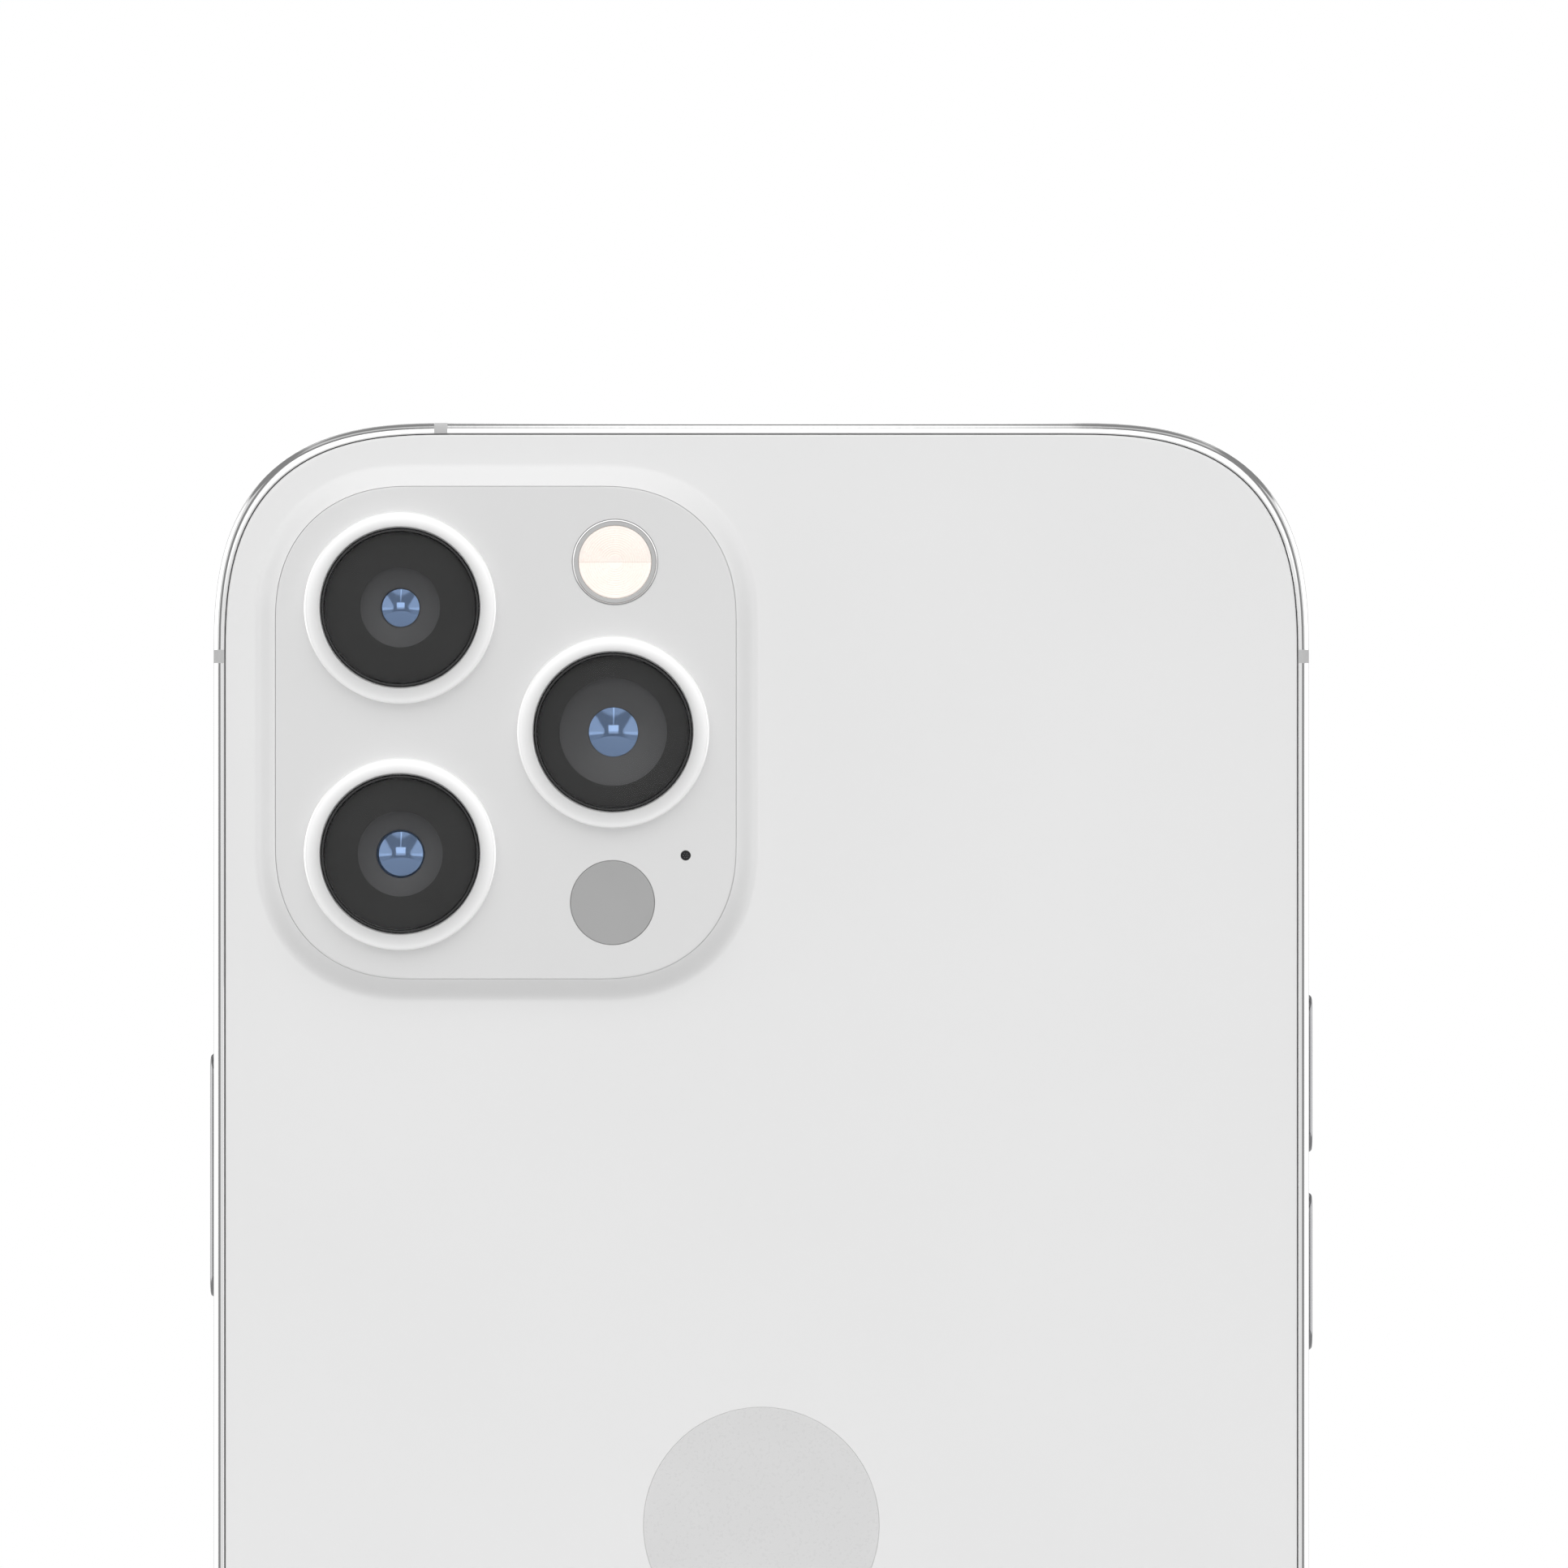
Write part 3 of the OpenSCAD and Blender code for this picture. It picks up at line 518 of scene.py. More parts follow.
SENSOR_GLASS = surface(
    "Front sensor glass", (12, 10, 22), 0.05, 0, (7, 6, 14),
    size=0.8, rough_vary=0.01, bump=0.0, IOR=1.6,
)
ORANGE = surface("Orange mark", (232, 92, 28), 0.45, 0, (216, 80, 22), size=0.15)
GOLD = surface("Gold contact", (222, 178, 96), 0.22, 1.0, (204, 160, 82), size=0.15)


def ring_steel_with_painted_sheen():
    """Satin steel with painted shading: its colour is painted brighter from the bore towards the
    ring's outer edge, standing in for a darker inner and brighter outer reflection.
    """
    material = surface(
        "Camera ring steel", 200, 0.42, 0.5, 196, size=0.1, rough_vary=0.05, bump=0.0006, wide=5
    )
    tree = material.node_tree
    base = tree.nodes["Principled BSDF"].inputs["Base Color"]
    rim = new_node(tree, "ShaderNodeAttribute", attribute_name="rim")
    plain = base.links[0].from_socket
    # The rim attribute mixes the colour towards white: a painted sheen, not a polish.
    tree.links.new(blend_colours(tree, rim.outputs["Fac"], plain, linear(252)), base)
    return material


RING_STEEL_WITH_PAINTED_SHEEN = ring_steel_with_painted_sheen()


# -------------------------------- metal frame
Z_NEAR = HEIGHT / 2 - BREAK_Z - BREAK_W / 2
Z_FAR = Z_NEAR + BREAK_W
X_NEAR = BREAK_X - BREAK_W / 2
X_FAR = X_NEAR + BREAK_W
X_STRAIGHT = WIDTH / 2 - REACH


def frame_point(station, inset):
    """Place (x, z) of a station of the frame's outline, moved inwards by inset."""
    kind, sx, sz, value = station
    r = REACH - inset
    half_w = WIDTH / 2 - REACH
    half_h = HEIGHT / 2 - REACH
    if kind == "corner":
        dx, dz = corner(r, POWER, value)
        x, z = sx * (half_w + dx), sz * (half_h + dz)
    elif kind == "edge":
        over = max(abs(value) - half_w, 0)
        x, z = value, sz * (half_h + r * (1 - (over / r) ** POWER) ** (1 / POWER))
    else:
        over = max(abs(value) - half_h, 0)
        x, z = sx * (half_w + r * (1 - (over / r) ** POWER) ** (1 / POWER)), value
    return x, z + HEIGHT / 2


def frame_profile():
    """Cross-section of the frame as (inset, y), closed. Its rounded edges follow the tilts, given
    as (inset, degrees)."""
    tilts = [
        (0.0, 90), (0.004, 80), (0.02, 68), (0.06, 56), (0.12, 47), (0.2, 38), (0.27, 28),
        (0.33, 19), (0.41, 14), (0.49, 10), (0.53, 6), (0.57, 3), (0.67, 2),
    ]
    steepest = 84
    drop = [0.0]
    for (i0, t0), (i1, t1) in zip(reversed(tilts[:-1]), reversed(tilts[1:])):
        slope = math.tan(math.radians(min((t0 + t1) / 2, steepest)))
        drop.append(drop[-1] + slope * (i1 - i0))
    back = [(i, Y_BACK + d) for (i, _), d in zip(tilts, reversed(drop))]
    front = [(i, -y) for i, y in reversed(back)]
    lip = 0.05
    before_lip = RIM - lip - 0.03
    flat_from = drop[-1] + 0.15
    return [
        *back, (before_lip, Y_BACK), (RIM - lip, Y_BACK), (RIM, Y_BACK + lip),
        (RIM, Y_BACK_IN), (WALL, Y_BACK_IN), (WALL, Y_FRONT_IN), (RIM, Y_FRONT_IN),
        (RIM, Y_FRONT - lip), (RIM - lip, Y_FRONT), (before_lip, Y_FRONT), *front,
        (0, Y_FRONT - flat_from), (0, 0.0), (0, Y_BACK + flat_from),
    ]


def corner_stations(sx, sz, first, last, steps=30):
    return [("corner", sx, sz, first + (last - first) * i / steps) for i in range(steps + 1)]


def side_stations(sx, start, end):
    """Stations along a side: its ends, one close to the start, and 15 between."""
    places = [start, start + math.copysign(0.4, end - start)]
    middle = [start + (end - start) * k / 16 for k in range(1, 16)]
    return [("side", sx, 0, z) for z in (*places, *middle, end)]


def edge_stations(sz, *places):
    return [("edge", 0, sz, x) for x in places]


def frame_piece(name, node, *runs, cutters=()):
    """Piece of the frame with a solid for each run of stations."""
    shape = Shape()
    profile = frame_profile()
    for stations in runs:
        rings = []
        for station in stations:
            places = [(frame_point(station, inset), y) for inset, y in profile]
            rings.append([(x, y, z) for (x, z), y in places])
        shape.loft(rings)
    make(name, shape, node, cutters=cutters)


def build_frame():
    frame_piece(
        "right_rail_metal", "right_rail", side_stations(1, -Z_NEAR, Z_NEAR),
        cutters=right_rail_cuts(),
    )
    frame_piece(
        "left_rail_metal", "left_rail", side_stations(-1, Z_NEAR, -Z_NEAR),
        cutters=pocket(-1, "side_button"),
    )
    frame_piece(
        "top_band_metal",
        "top_band",
        [("side", 1, 0, Z_FAR)]
        + corner_stations(1, 1, 4, 90)
        + edge_stations(1, 12, 0, -12, -X_STRAIGHT + 0.5, -X_NEAR),
    )
    frame_piece(
        "top_left_corner_metal",
        "top_left_corner",
        edge_stations(1, -X_FAR) + corner_stations(-1, 1, 86, 4) + [("side", -1, 0, Z_FAR)],
    )
    frame_piece(
        "bottom_band_metal",
        "bottom_band",
        [("side", -1, 0, -Z_FAR)]
        + corner_stations(-1, -1, 4, 90)
        + edge_stations(-1, -14, 0, 14, X_STRAIGHT - 0.5, X_NEAR),
        cutters=bottom_cuts(),
    )
    frame_piece(
        "bottom_right_corner_metal",
        "bottom_right_corner",
        edge_stations(-1, X_FAR) + corner_stations(1, -1, 86, 4) + [("side", 1, 0, -Z_FAR)],
    )
    frame_piece(
        "antenna_break_strips",
        "antenna_breaks",
        *[
            [("side", sx, 0, sz * Z_NEAR), ("side", sx, 0, sz * Z_FAR)]
            for sx in (1, -1)
            for sz in (1, -1)
        ],
        edge_stations(1, -X_NEAR, -X_FAR),
        edge_stations(-1, X_NEAR, X_FAR),
    )


def side_hole(flat, side, z, depth=1.0):
    """Cutter through a side rail from its inside, up to a depth below its outside."""
    hole = Shape()
    ends = (WIDTH / 2 - WALL - 1, WIDTH / 2 - depth)
    hole.loft([on_side(flat, side * x, 0, z) for x in ends])
    return hole


def side_well(draw, side, z, depth, ease):
    """Cutter for a well with an eased mouth in a side rail. draw(grow) gives its outline."""
    well = Shape()
    levels = [(depth, 0.0), (ease, 0.0), (0.0, ease), (-1.0, ease)]
    well.loft([on_side(draw(grow), side * (WIDTH / 2 - d), 0, z) for d, grow in levels])
    return well


def pocket(side, node, posts=True):
    """Cutters for a button's pocket in a side rail, and for the holes of the button's posts."""
    z, length, width = side_mm(node)

    def draw(grow):
        more = 2 * (POCKET_GAP + grow)
        return pill(width + more, length + more)

    cutters = [side_well(draw, side, z, POCKET, 0.07)]
    if posts:
        for s in (-1, 1):
            cutters.append(side_hole(disc(0.65, 24), side, z + s * (length / 2 - POST_IN)))
    return cutters


def right_rail_cuts():
    cutters = pocket(1, "volume_up_button") + pocket(1, "volume_down_button")
    cutters += pocket(1, "sim_tray", posts=False)
    z, _, _ = side_mm("sim_tray")
    cutters.append(side_hole(rectangle(0.5, 5.8), 1, z))
    cutters.append(side_hole(rectangle(0.45, 0.45), 1, z + EJECT_Z, 0.5))
    z, length, _ = side_mm("mute_switch")

    def draw(grow):
        more = 2 * (POCKET_GAP + grow)
        return rounded(MUTE_W + MUTE_TRAVEL + more, length + more, 0.7 + grow)

    cutters.append(side_well(draw, 1, z, 1.4, 0.06))
    cutters.append(side_hole(rectangle(1.15, 1.1), 1, z))
    return cutters


def bottom_cuts():
    """Cutters for the charging port with its seat, the two screws and the rows of round holes."""
    ease = 0.12
    deep = WALL + 1
    mouth = Shape()
    levels = [(-1.0, ease), (0.0, ease), (ease, 0.0), (deep, 0.0)]
    mouth.loft([on_floor(pill(8.7 + 2 * g, 2.9 + 2 * g), z, 0) for z, g in levels])
    seat = Shape()
    seat.loft([on_floor(pill(9.04, 3.24), z, 0) for z in (0.83, deep)])
    screw = [(1.03, -1.0), (1.03, 0.0), (1.0, 0.04), (1.0, 0.65), (0.65, 0.65), (0.65, deep)]
    sound = [(0.68, -1.0), (0.68, 0.0), (0.625, 0.055), (0.625, deep)]
    drilled = [(s * 7.4, screw) for s in (-1, 1)]
    for side, count in ((-1, 6), (1, 4)):
        drilled += [(side * (11.5 + 2.15 * i), sound) for i in range(count)]
    cutters = [mouth, seat]
    for x, profile in drilled:
        hole = Shape()
        hole.loft([on_floor(disc(r), z, x) for r, z in profile])
        cutters.append(hole)
    return cutters


# -------------------------------- back glass and camera deck
def glass_edge(glass, y_in, y_face):
    """Edge of a flat glass, from its inner face to its outer one, which has an eased corner."""
    ease = GLASS_EASE
    inwards = math.copysign(1, y_in - y_face)
    edge = [(GLASS_INSET, y_in), (GLASS_INSET, y_face + inwards * ease)]
    for t in angles(0, 90, 5)[1:]:
        inset = GLASS_INSET + ease - ease * math.cos(t)
        edge.append((inset, y_face + inwards * (ease - ease * math.sin(t))))
    edge.append((GLASS_INSET + ease + 0.12, y_face))
    return glass.tube([body_ring(i, y) for i, y in edge])


def build_back():
    glass = Shape()
    rim = glass_edge(glass, Y_BACK_IN, Y_BACK)
    flare = [(-FLARE_W - 0.15, Y_BACK)]
    for k in range(FLARE_STEPS + 1):
        t = k / FLARE_STEPS
        rise = (Y_BACK - Y_DECK) * (1 - math.cos(FLARE_TURN * t)) / (1 - math.cos(FLARE_TURN))
        flare.append((FLARE_W * (t - 1) - 0.01, Y_BACK - rise))
    flare += [(-0.005, Y_DECK + 0.01), (-0.005, Y_DECK_IN), (LEDGE, Y_DECK_IN), (LEDGE, Y_BACK_IN)]
    bump = glass.tube([deck_ring(i, y) for i, y in flare])

    x, z, r, low_y, high_y = round_mm("back_inlay")
    y_floor = Y_BACK + high_y - low_y
    hole_r = r + SLACK
    pit_profile = [
        (hole_r + 0.15, Y_BACK), (hole_r + 0.015, Y_BACK), (hole_r, Y_BACK + 0.015),
        (hole_r, y_floor),
    ]
    pit = glass.turned(x, z, pit_profile, 96)
    glass.cap(pit[-1])
    glass.fill([rim[-1], bump[0], pit[0]])
    glass.fill([rim[0], bump[-1]])
    make("back_glass_sheet", glass, "back_glass", sharp=35)
    gasket("back_glass_seal", "back_glass", Y_BACK + 0.06, Y_BACK_IN - 0.01)

    inlay = Shape()
    profile = [
        (0, y_floor), (r, y_floor), (r, Y_BACK + 0.02), (r - 0.02, Y_BACK + 0.002),
        (r - 0.2, Y_BACK), (0, Y_BACK),
    ]
    inlay.turned(x, z, profile, 96)
    make("back_inlay_disc", inlay, "back_inlay")


def gasket(name, node, y_out, y_in):
    """Dark seal that fills the gap between a glass and the metal rim."""
    seal = Shape()
    outer, inner = RIM + 0.002, GLASS_INSET - 0.002
    levels = [(outer, y_in), (inner, y_in), (inner, y_out), (outer, y_out)]
    seal.tube([body_ring(i, y) for i, y in levels], closed=True)
    make(name, seal, node, SEAL, replace=False)


def build_deck():
    deck = Shape()
    edge = [
        (0.03, Y_DECK_IN), (0.03, Y_DECK + 0.02), (0.036, Y_DECK + 0.006),
        (0.05, Y_DECK), (0.2, Y_DECK),
    ]
    sides = deck.tube([deck_ring(i, y) for i, y in edge])
    top, under = [sides[-1]], [sides[0]]
    holes = [(round_mm(f"{c}_ring"), SLEEVE_D / 2 + BORE_GAP) for c in CAMERAS]
    gaps = {"flash_bezel": SLACK, "depth_window": SLACK, "rear_mic_mesh": SLACK / 2}
    for node, gap in gaps.items():
        place = round_mm(node)
        holes.append((place, place[2] + gap))
    for (x, z, *_), r in holes:
        profile = [(r + 0.12, Y_DECK), (r + 0.03, Y_DECK), (r, Y_DECK + 0.03), (r, Y_DECK_IN)]
        hole = deck.turned(x, z, profile, 96)
        top.append(hole[0])
        under.append(hole[-1])
    deck.fill(top)
    deck.fill(under)
    make("camera_deck_plate", deck, "camera_deck", DECK_GLASS)


# -------------------------------- cameras
def lens_slope(u):
    """Slope of the front lens in degrees at u lens radii from its middle: it rises quickly up to
    0.38 and slowly from there to the edge."""
    return 50 * u if u < 0.38 else 19 + 14.5 * (u - 0.38)


def build_camera_ring(name, bore, seat):
    x, z, r, y_top, y_end = round_mm(f"{name}_ring")
    face_r = r - RING_ROUND
    crown_y = y_top + 0.277
    crown = [
        (face_r + RING_ROUND * math.sin(t), crown_y - RING_ROUND * math.cos(t))
        for t in angles(90, 20, 6)
    ]
    face = []
    ease, sag, steps = 0.06, 0.09, 12
    for k in range(1, steps + 1):
        q = face_r + (bore + ease - face_r) * k / steps
        face.append((q, y_top + sag * ((q - bore) / (face_r - bore)) ** 2))
    sleeve = SLEEVE_D / 2
    profile = [
        (RING_INNER, y_end), (sleeve, y_end), (sleeve, Y_DECK), (r, Y_DECK), *crown, *face,
        (bore, y_top + ease), (bore, seat), (RING_INNER, seat),
    ]
    ring = Shape()
    ring.turned(x, z, profile, 160, closed=True)
    metal = make(f"{name}_ring_metal", ring, f"{name}_ring", RING_STEEL_WITH_PAINTED_SHEEN, sharp=32)
    # rim runs from 0 at the bore to 1 at the face's outer edge; the ring's material paints its
    # colour brighter along it, a painted sheen.
    shade = metal.data.attributes.new("rim", "FLOAT", "POINT")
    for k, v in enumerate(metal.data.vertices):
        q = math.hypot(v.co.x / MM - x, v.co.z / MM - z)
        shade.data[k].value = min(max((q - bore) / (face_r - bore), 0.0), 1.0)


def build_camera(name):
    """Camera ring, cover glass with its mask and border, barrel and front lens."""
    x, z, _, _, _ = round_mm(f"{name}_ring")
    node = f"{name}_cover_glass"
    _, _, cover_r, y0, y1 = round_mm(node)
    build_camera_ring(name, cover_r + BORE_GAP, y1 + SLACK)
    cover = Shape()
    profile = [
        (0, y1), (cover_r, y1), (cover_r, y0 + 0.08), (cover_r - 0.08, y0), (cover_r - 0.3, y0),
        (0, y0),
    ]
    cover.turned(x, z, profile)
    make(f"{name}_cover_pane", cover, node)

    funnel_r = FUNNEL_D[name] / 2
    mask = Shape()
    mask_r = RING_INNER - 0.03
    front, back = y1 + 0.03, y1 + 0.06
    profile = [(funnel_r, back), (mask_r, back), (mask_r, front), (funnel_r, front)]
    mask.turned(x, z, profile, closed=True)
    make(f"{name}_cover_mask", mask, node, DARK_MASK, replace=False)
    border = Shape()
    profile = [
        (RING_INNER, y1 - 0.02), (cover_r - 0.02, y1 - 0.02), (cover_r - 0.02, y0 + 0.12),
        (cover_r - 0.1, y0 + 0.06), (RING_INNER + 0.05, y0 + 0.06), (RING_INNER, y0 + 0.1),
    ]
    border.turned(x, z, profile, closed=True)
    make(f"{name}_cover_border", border, node, BLACK_BEZEL, replace=False)

    _, _, barrel_r, y0, y1 = round_mm(f"{name}_barrel")
    _, _, lens_r, _, lens_end = round_mm(f"{name}_front_lens")
    barrel = Shape()
    profile = [
        (lens_r + 0.02, y0 + 1.4), (lens_r + 0.02, y0 + 0.76), (lens_r + 0.05, y0 + 0.72),
        (lens_r + 0.1, y0 + 0.7), (funnel_r - 0.1, y0 + 0.05), (funnel_r - 0.04, y0 + 0.01),
        (funnel_r, y0), (barrel_r - 0.05, y0), (barrel_r, y0 + 0.05), (barrel_r, y1), (0, y1),
    ]
    rings = barrel.turned(x, z, profile, 96)
    barrel.cap(rings[0])
    make(f"{name}_barrel_body", barrel, f"{name}_barrel")

    dome = [(0.0, y0 + LENS_DEPTH)]
    for k in range(1, LENS_STEPS + 1):
        slope = math.tan(math.radians(lens_slope((k - 0.5) / LENS_STEPS)))
        dome.append((lens_r * k / LENS_STEPS, dome[-1][1] + slope * lens_r / LENS_STEPS))
    lens = Shape()
    lens.turned(x, z, [*dome, (lens_r, lens_end), (0, lens_end)], 96)
    make(f"{name}_lens_element", lens, f"{name}_front_lens")


# -------------------------------- flash, depth window, microphone
def build_flash():
    x, z, r, y, y_end = round_mm("flash_bezel")
    _, _, lens_r, lens_y, lens_end = round_mm("flash_lens")
    inner = lens_r + SLACK
    seat = r - 0.1
    bezel = Shape()
    profile = [
        (seat, y_end), (r, y_end), (r, y + 0.03), (r - 0.02, y + 0.005), (r - 0.05, y),
        (seat + 0.02, y), (seat, y + 0.02),
    ]
    bezel.turned(x, z, profile, 96, closed=True)
    make("flash_bezel_ring", bezel, "flash_bezel", MATERIALS["frame_steel"])
    washer = Shape()
    profile = [
        (inner, y_end), (seat - 0.01, y_end), (seat - 0.01, y + 0.06), (seat - 0.04, y + 0.04),
        (inner + 0.05, y + 0.04), (inner, y + 0.08),
    ]
    washer.turned(x, z, profile, 96, closed=True)
    make("flash_gasket", washer, "flash_bezel", MATERIALS["break_plastic"], replace=False)

    grooves = 12
    first_groove = 0.5
    pitch = (lens_r - 0.15 - first_groove) / grooves
    profile = [(0.0, lens_y)]
    for k in range(grooves):
        a, b = first_groove + pitch * k, first_groove + pitch * (k + 1)
        profile += [(a, lens_y), (a + 0.02, lens_y + 0.05), (b, lens_y + 0.003)]
    profile += [
        (lens_r - 0.06, lens_y), (lens_r, lens_y + 0.06), (lens_r, lens_end), (0.0, lens_end)
    ]
    steps = 48
    flash = Shape()
    for half, gap in ((0, 0.008), (1, -0.008)):
        made = []
        for q, y in profile:
            points = []
            for i in range(steps + 1):
                a = math.pi * (half + i / steps)
                up = q * math.sin(a)
                crown = 0.1 * math.sin(math.pi * abs(up) / lens_r) if y < lens_end else 0
                points.append((x + q * math.cos(a), y - crown, z + up + gap))
            made.append(flash.ring(points))
        for a, b in zip(made, made[1:]):
            for i in range(steps):
                flash.cap((a[i], a[i + 1], b[i + 1], b[i]))
        flash.cap([m[0] for m in made] + [m[-1] for m in reversed(made)])
    bmesh.ops.remove_doubles(flash.bm, verts=flash.bm.verts, dist=1e-4)
    make("flash_lens_grooved", flash, "flash_lens", sharp=20)


def build_small_parts():
    build_flash()
    x, z, r, y, y_end = round_mm("depth_window")
    window = Shape()
    profile = [(0, y_end), (r, y_end), (r, y + 0.05), (r - 0.05, y), (r - 0.2, y), (0, y)]
    window.turned(x, z, profile, 96)
    make("depth_window_pane", window, "depth_window")

    x, z, r, y, y_end = round_mm("rear_mic_mesh")
    rim = circle(x, z, r, 0, 40)
    perforated("rear_mic_screen", "rear_mic_mesh", rim, x, z, (y, y_end), 0.16, 0.05, r - 0.08, 0)


def perforated(name, node, rim, x, z, faces, pitch, hole_r, reach, half_l):
    """Thin screen inside a rim between two faces of constant Y. Its staggered rows of round holes
    keep within reach of a line of half length half_l through its centre (x, z)."""
    row_pitch = 0.866 * pitch
    screen = Shape()
    outer = screen.tube([[(p[0], y, p[2]) for p in rim] for y in faces])
    fronts, backs = [outer[0]], [outer[1]]
    rows = int((half_l + reach) / pitch) + 2
    for j in range(-rows, rows + 1):
        for i in range(-rows, rows + 1):
            dx = (i + (0.5 if j % 2 else 0)) * pitch
            dz = j * row_pitch
            over = max(abs(dx) - half_l, 0)
            if math.hypot(over, dz) > reach:
                continue
            pair = screen.tube([circle(x + dx, z + dz, hole_r, y, 10) for y in faces])
            fronts.append(pair[0])
            backs.append(pair[1])
    screen.fill(fronts)
    screen.fill(backs)
    make(name, screen, node)


# -------------------------------- display side
def build_display():
    glass = Shape()
    rim = glass_edge(glass, Y_FRONT_IN, Y_FRONT)

    low, high = box_mm("earpiece_mesh")
    x0, z0 = (low[0] + high[0]) / 2, (low[2] + high[2]) / 2
    w, h = high[0] - low[0], high[2] - low[2]
    levels = [(0.1, Y_FRONT), (0.03, Y_FRONT), (0.0, Y_FRONT - 0.03), (0.0, Y_FRONT_IN)]
    slot = glass.tube(
        [on_back(pill(w + 0.04 + 2 * g, h + 0.04 + 2 * g, 12), y, x0, z0) for g, y in levels]
    )

    z_sensor = HEIGHT - 5.2
    windows = []
    # front camera, then the two windows of the face sensors
    for x, diameter in ((12.9, 3.4), (-14.7, 2.6), (-11.0, 2.6)):
        rings = [circle(x, z_sensor, r, Y_FRONT, 48) for r in (diameter / 2 - 0.1, diameter / 5)]
        hole, core = (glass.ring(r) for r in rings)
        glass.skin(hole, core, 2)
        glass.cap(core, 2)
        windows.append(hole)

    active = glass.ring([(x, Y_FRONT, z) for x, z in active_outline()])
    glass.fill([rim[-1], slot[0], *windows, active])
    glass.fill([active], 1)
    glass.fill([rim[0], slot[-1]])
    slots = [MATERIALS["display_black_glass"], ACTIVE_AREA, SENSOR_GLASS]
    make("display_glass_sheet", glass, "display_glass", slots, sharp=35)
    gasket("display_glass_seal", "display_glass", Y_FRONT - 0.06, Y_FRONT_IN + 0.01)
    rim = on_back(pill(w, h, 12), 0, x0, z0)
    perforated(
        "earpiece_screen", "earpiece_mesh", rim, x0, z0, (low[1], high[1]),
        0.24, 0.07, h / 2 - 0.14, w / 2 - 0.5,
    )


def active_outline():
    """Picture area: rounded, with a notch for the earpiece and the sensors at its top."""
    inset = 3.4
    points = outline(WIDTH - 2 * inset, HEIGHT - 2 * inset, REACH - inset, 2.5, 24)
    half = 17.5  # of the notch's width
    mouth = 1.0  # radius of its upper corners
    r = 2.6  # radius of its lower corners
    top = HEIGHT / 2 - inset
    deep = HEIGHT / 2 - 8.3
    notch = [(half + mouth, top)]
    notch += arc(half + mouth, top - mouth, mouth, 90, 180, 6)[1:]
    notch += arc(half - r, deep + r, r, 0, -90, 10)
    notch += arc(r - half, deep + r, r, -90, -180, 10)
    notch += arc(-half - mouth, top - mouth, mouth, 0, 90, 6)
    at = max(i for i, p in enumerate(points) if p[0] > half + 1.5 and abs(p[1] - top) < 1e-6)
    made = points[: at + 1] + notch + points[at + 1 :]
    clean = [made[0]]
    for p in made[1:]:
        if math.dist(p, clean[-1]) > 1e-4:
            clean.append(p)
    return [(x, z + HEIGHT / 2) for x, z in clean]


# -------------------------------- buttons, switch, tray
def raised(start, tip, r, rise, steps):
    """Levels (inset, x) of a raised cap, straight from its start and rounded over to its tip."""
    curve = [(r - r * math.cos(t), tip - r + rise * math.sin(t)) for t in angles(0, 90, steps)]
    return [(0.0, start), (0.0, tip - r), *curve[1:]]


def build_button(node, side):
    low, high = box_mm(node)
    z, l, w = side_mm(node)
    root, tip = sorted((abs(low[0]), abs(high[0])))
    under = WIDTH / 2 - POCKET + 0.3
    r = 0.28
    levels = raised(under, tip, r, r - 0.02, 7) + [(r + 0.2, tip - 0.01), (r + 0.5, tip)]
    shape = Shape()
    shape.loft([on_side(pill(w - 2 * i, l - 2 * i), side * x, 0, z) for i, x in levels])
    for s in (-1, 1):
        z_post = z + s * (l / 2 - POST_IN)
        shape.loft([on_side(disc(0.6, 24), side * x, 0, z_post) for x in (root, under)])
    make(f"{node}_cap", shape, node)


def build_mute():
    """Mute switch with its slide inside the rail, and the orange mark under it."""
    z, _, _ = side_mm("mute_switch")
    tip = box_mm("mute_switch")[1][0]
    half_w = WIDTH / 2
    knob = half_w - POCKET + 0.2
    slide = half_w - WALL - 0.25
    r = 0.2
    shape = Shape()
    levels = raised(knob, tip, r, r, 6) + [(r + 0.15, tip)]
    shape.loft(
        [
            on_side(rounded(MUTE_W - 2 * i, 5.5 - 2 * i, max(0.6 - i, 0.1)), x, MUTE_Y, z)
            for i, x in levels
        ]
    )
    for half_y, half_z, x0, x1 in ((0.4, 1.0, slide, knob), (0.6, 1.8, slide - 0.4, slide)):
        flat = rounded(2 * half_y, 2 * half_z, 0.08, 3)
        shape.loft([on_side(flat, x, MUTE_Y, z) for x in (x0, x1)])
    make("mute_switch_slider", shape, "mute_switch")

    mark = Shape()
    flat = [
        (0.3, -2.6), (1.5, -2.6), (1.5, 2.6), (0.3, 2.6), (0.3, 1.2), (1.2, 1.2), (1.2, -1.2),
        (0.3, -1.2),
    ]
    mark.loft([on_side(flat, half_w - depth, 0, z) for depth in (1.4, 1.36)])
    make("mute_mark", mark, "mute_switch", ORANGE, body=BODY["right_rail"], replace=False)


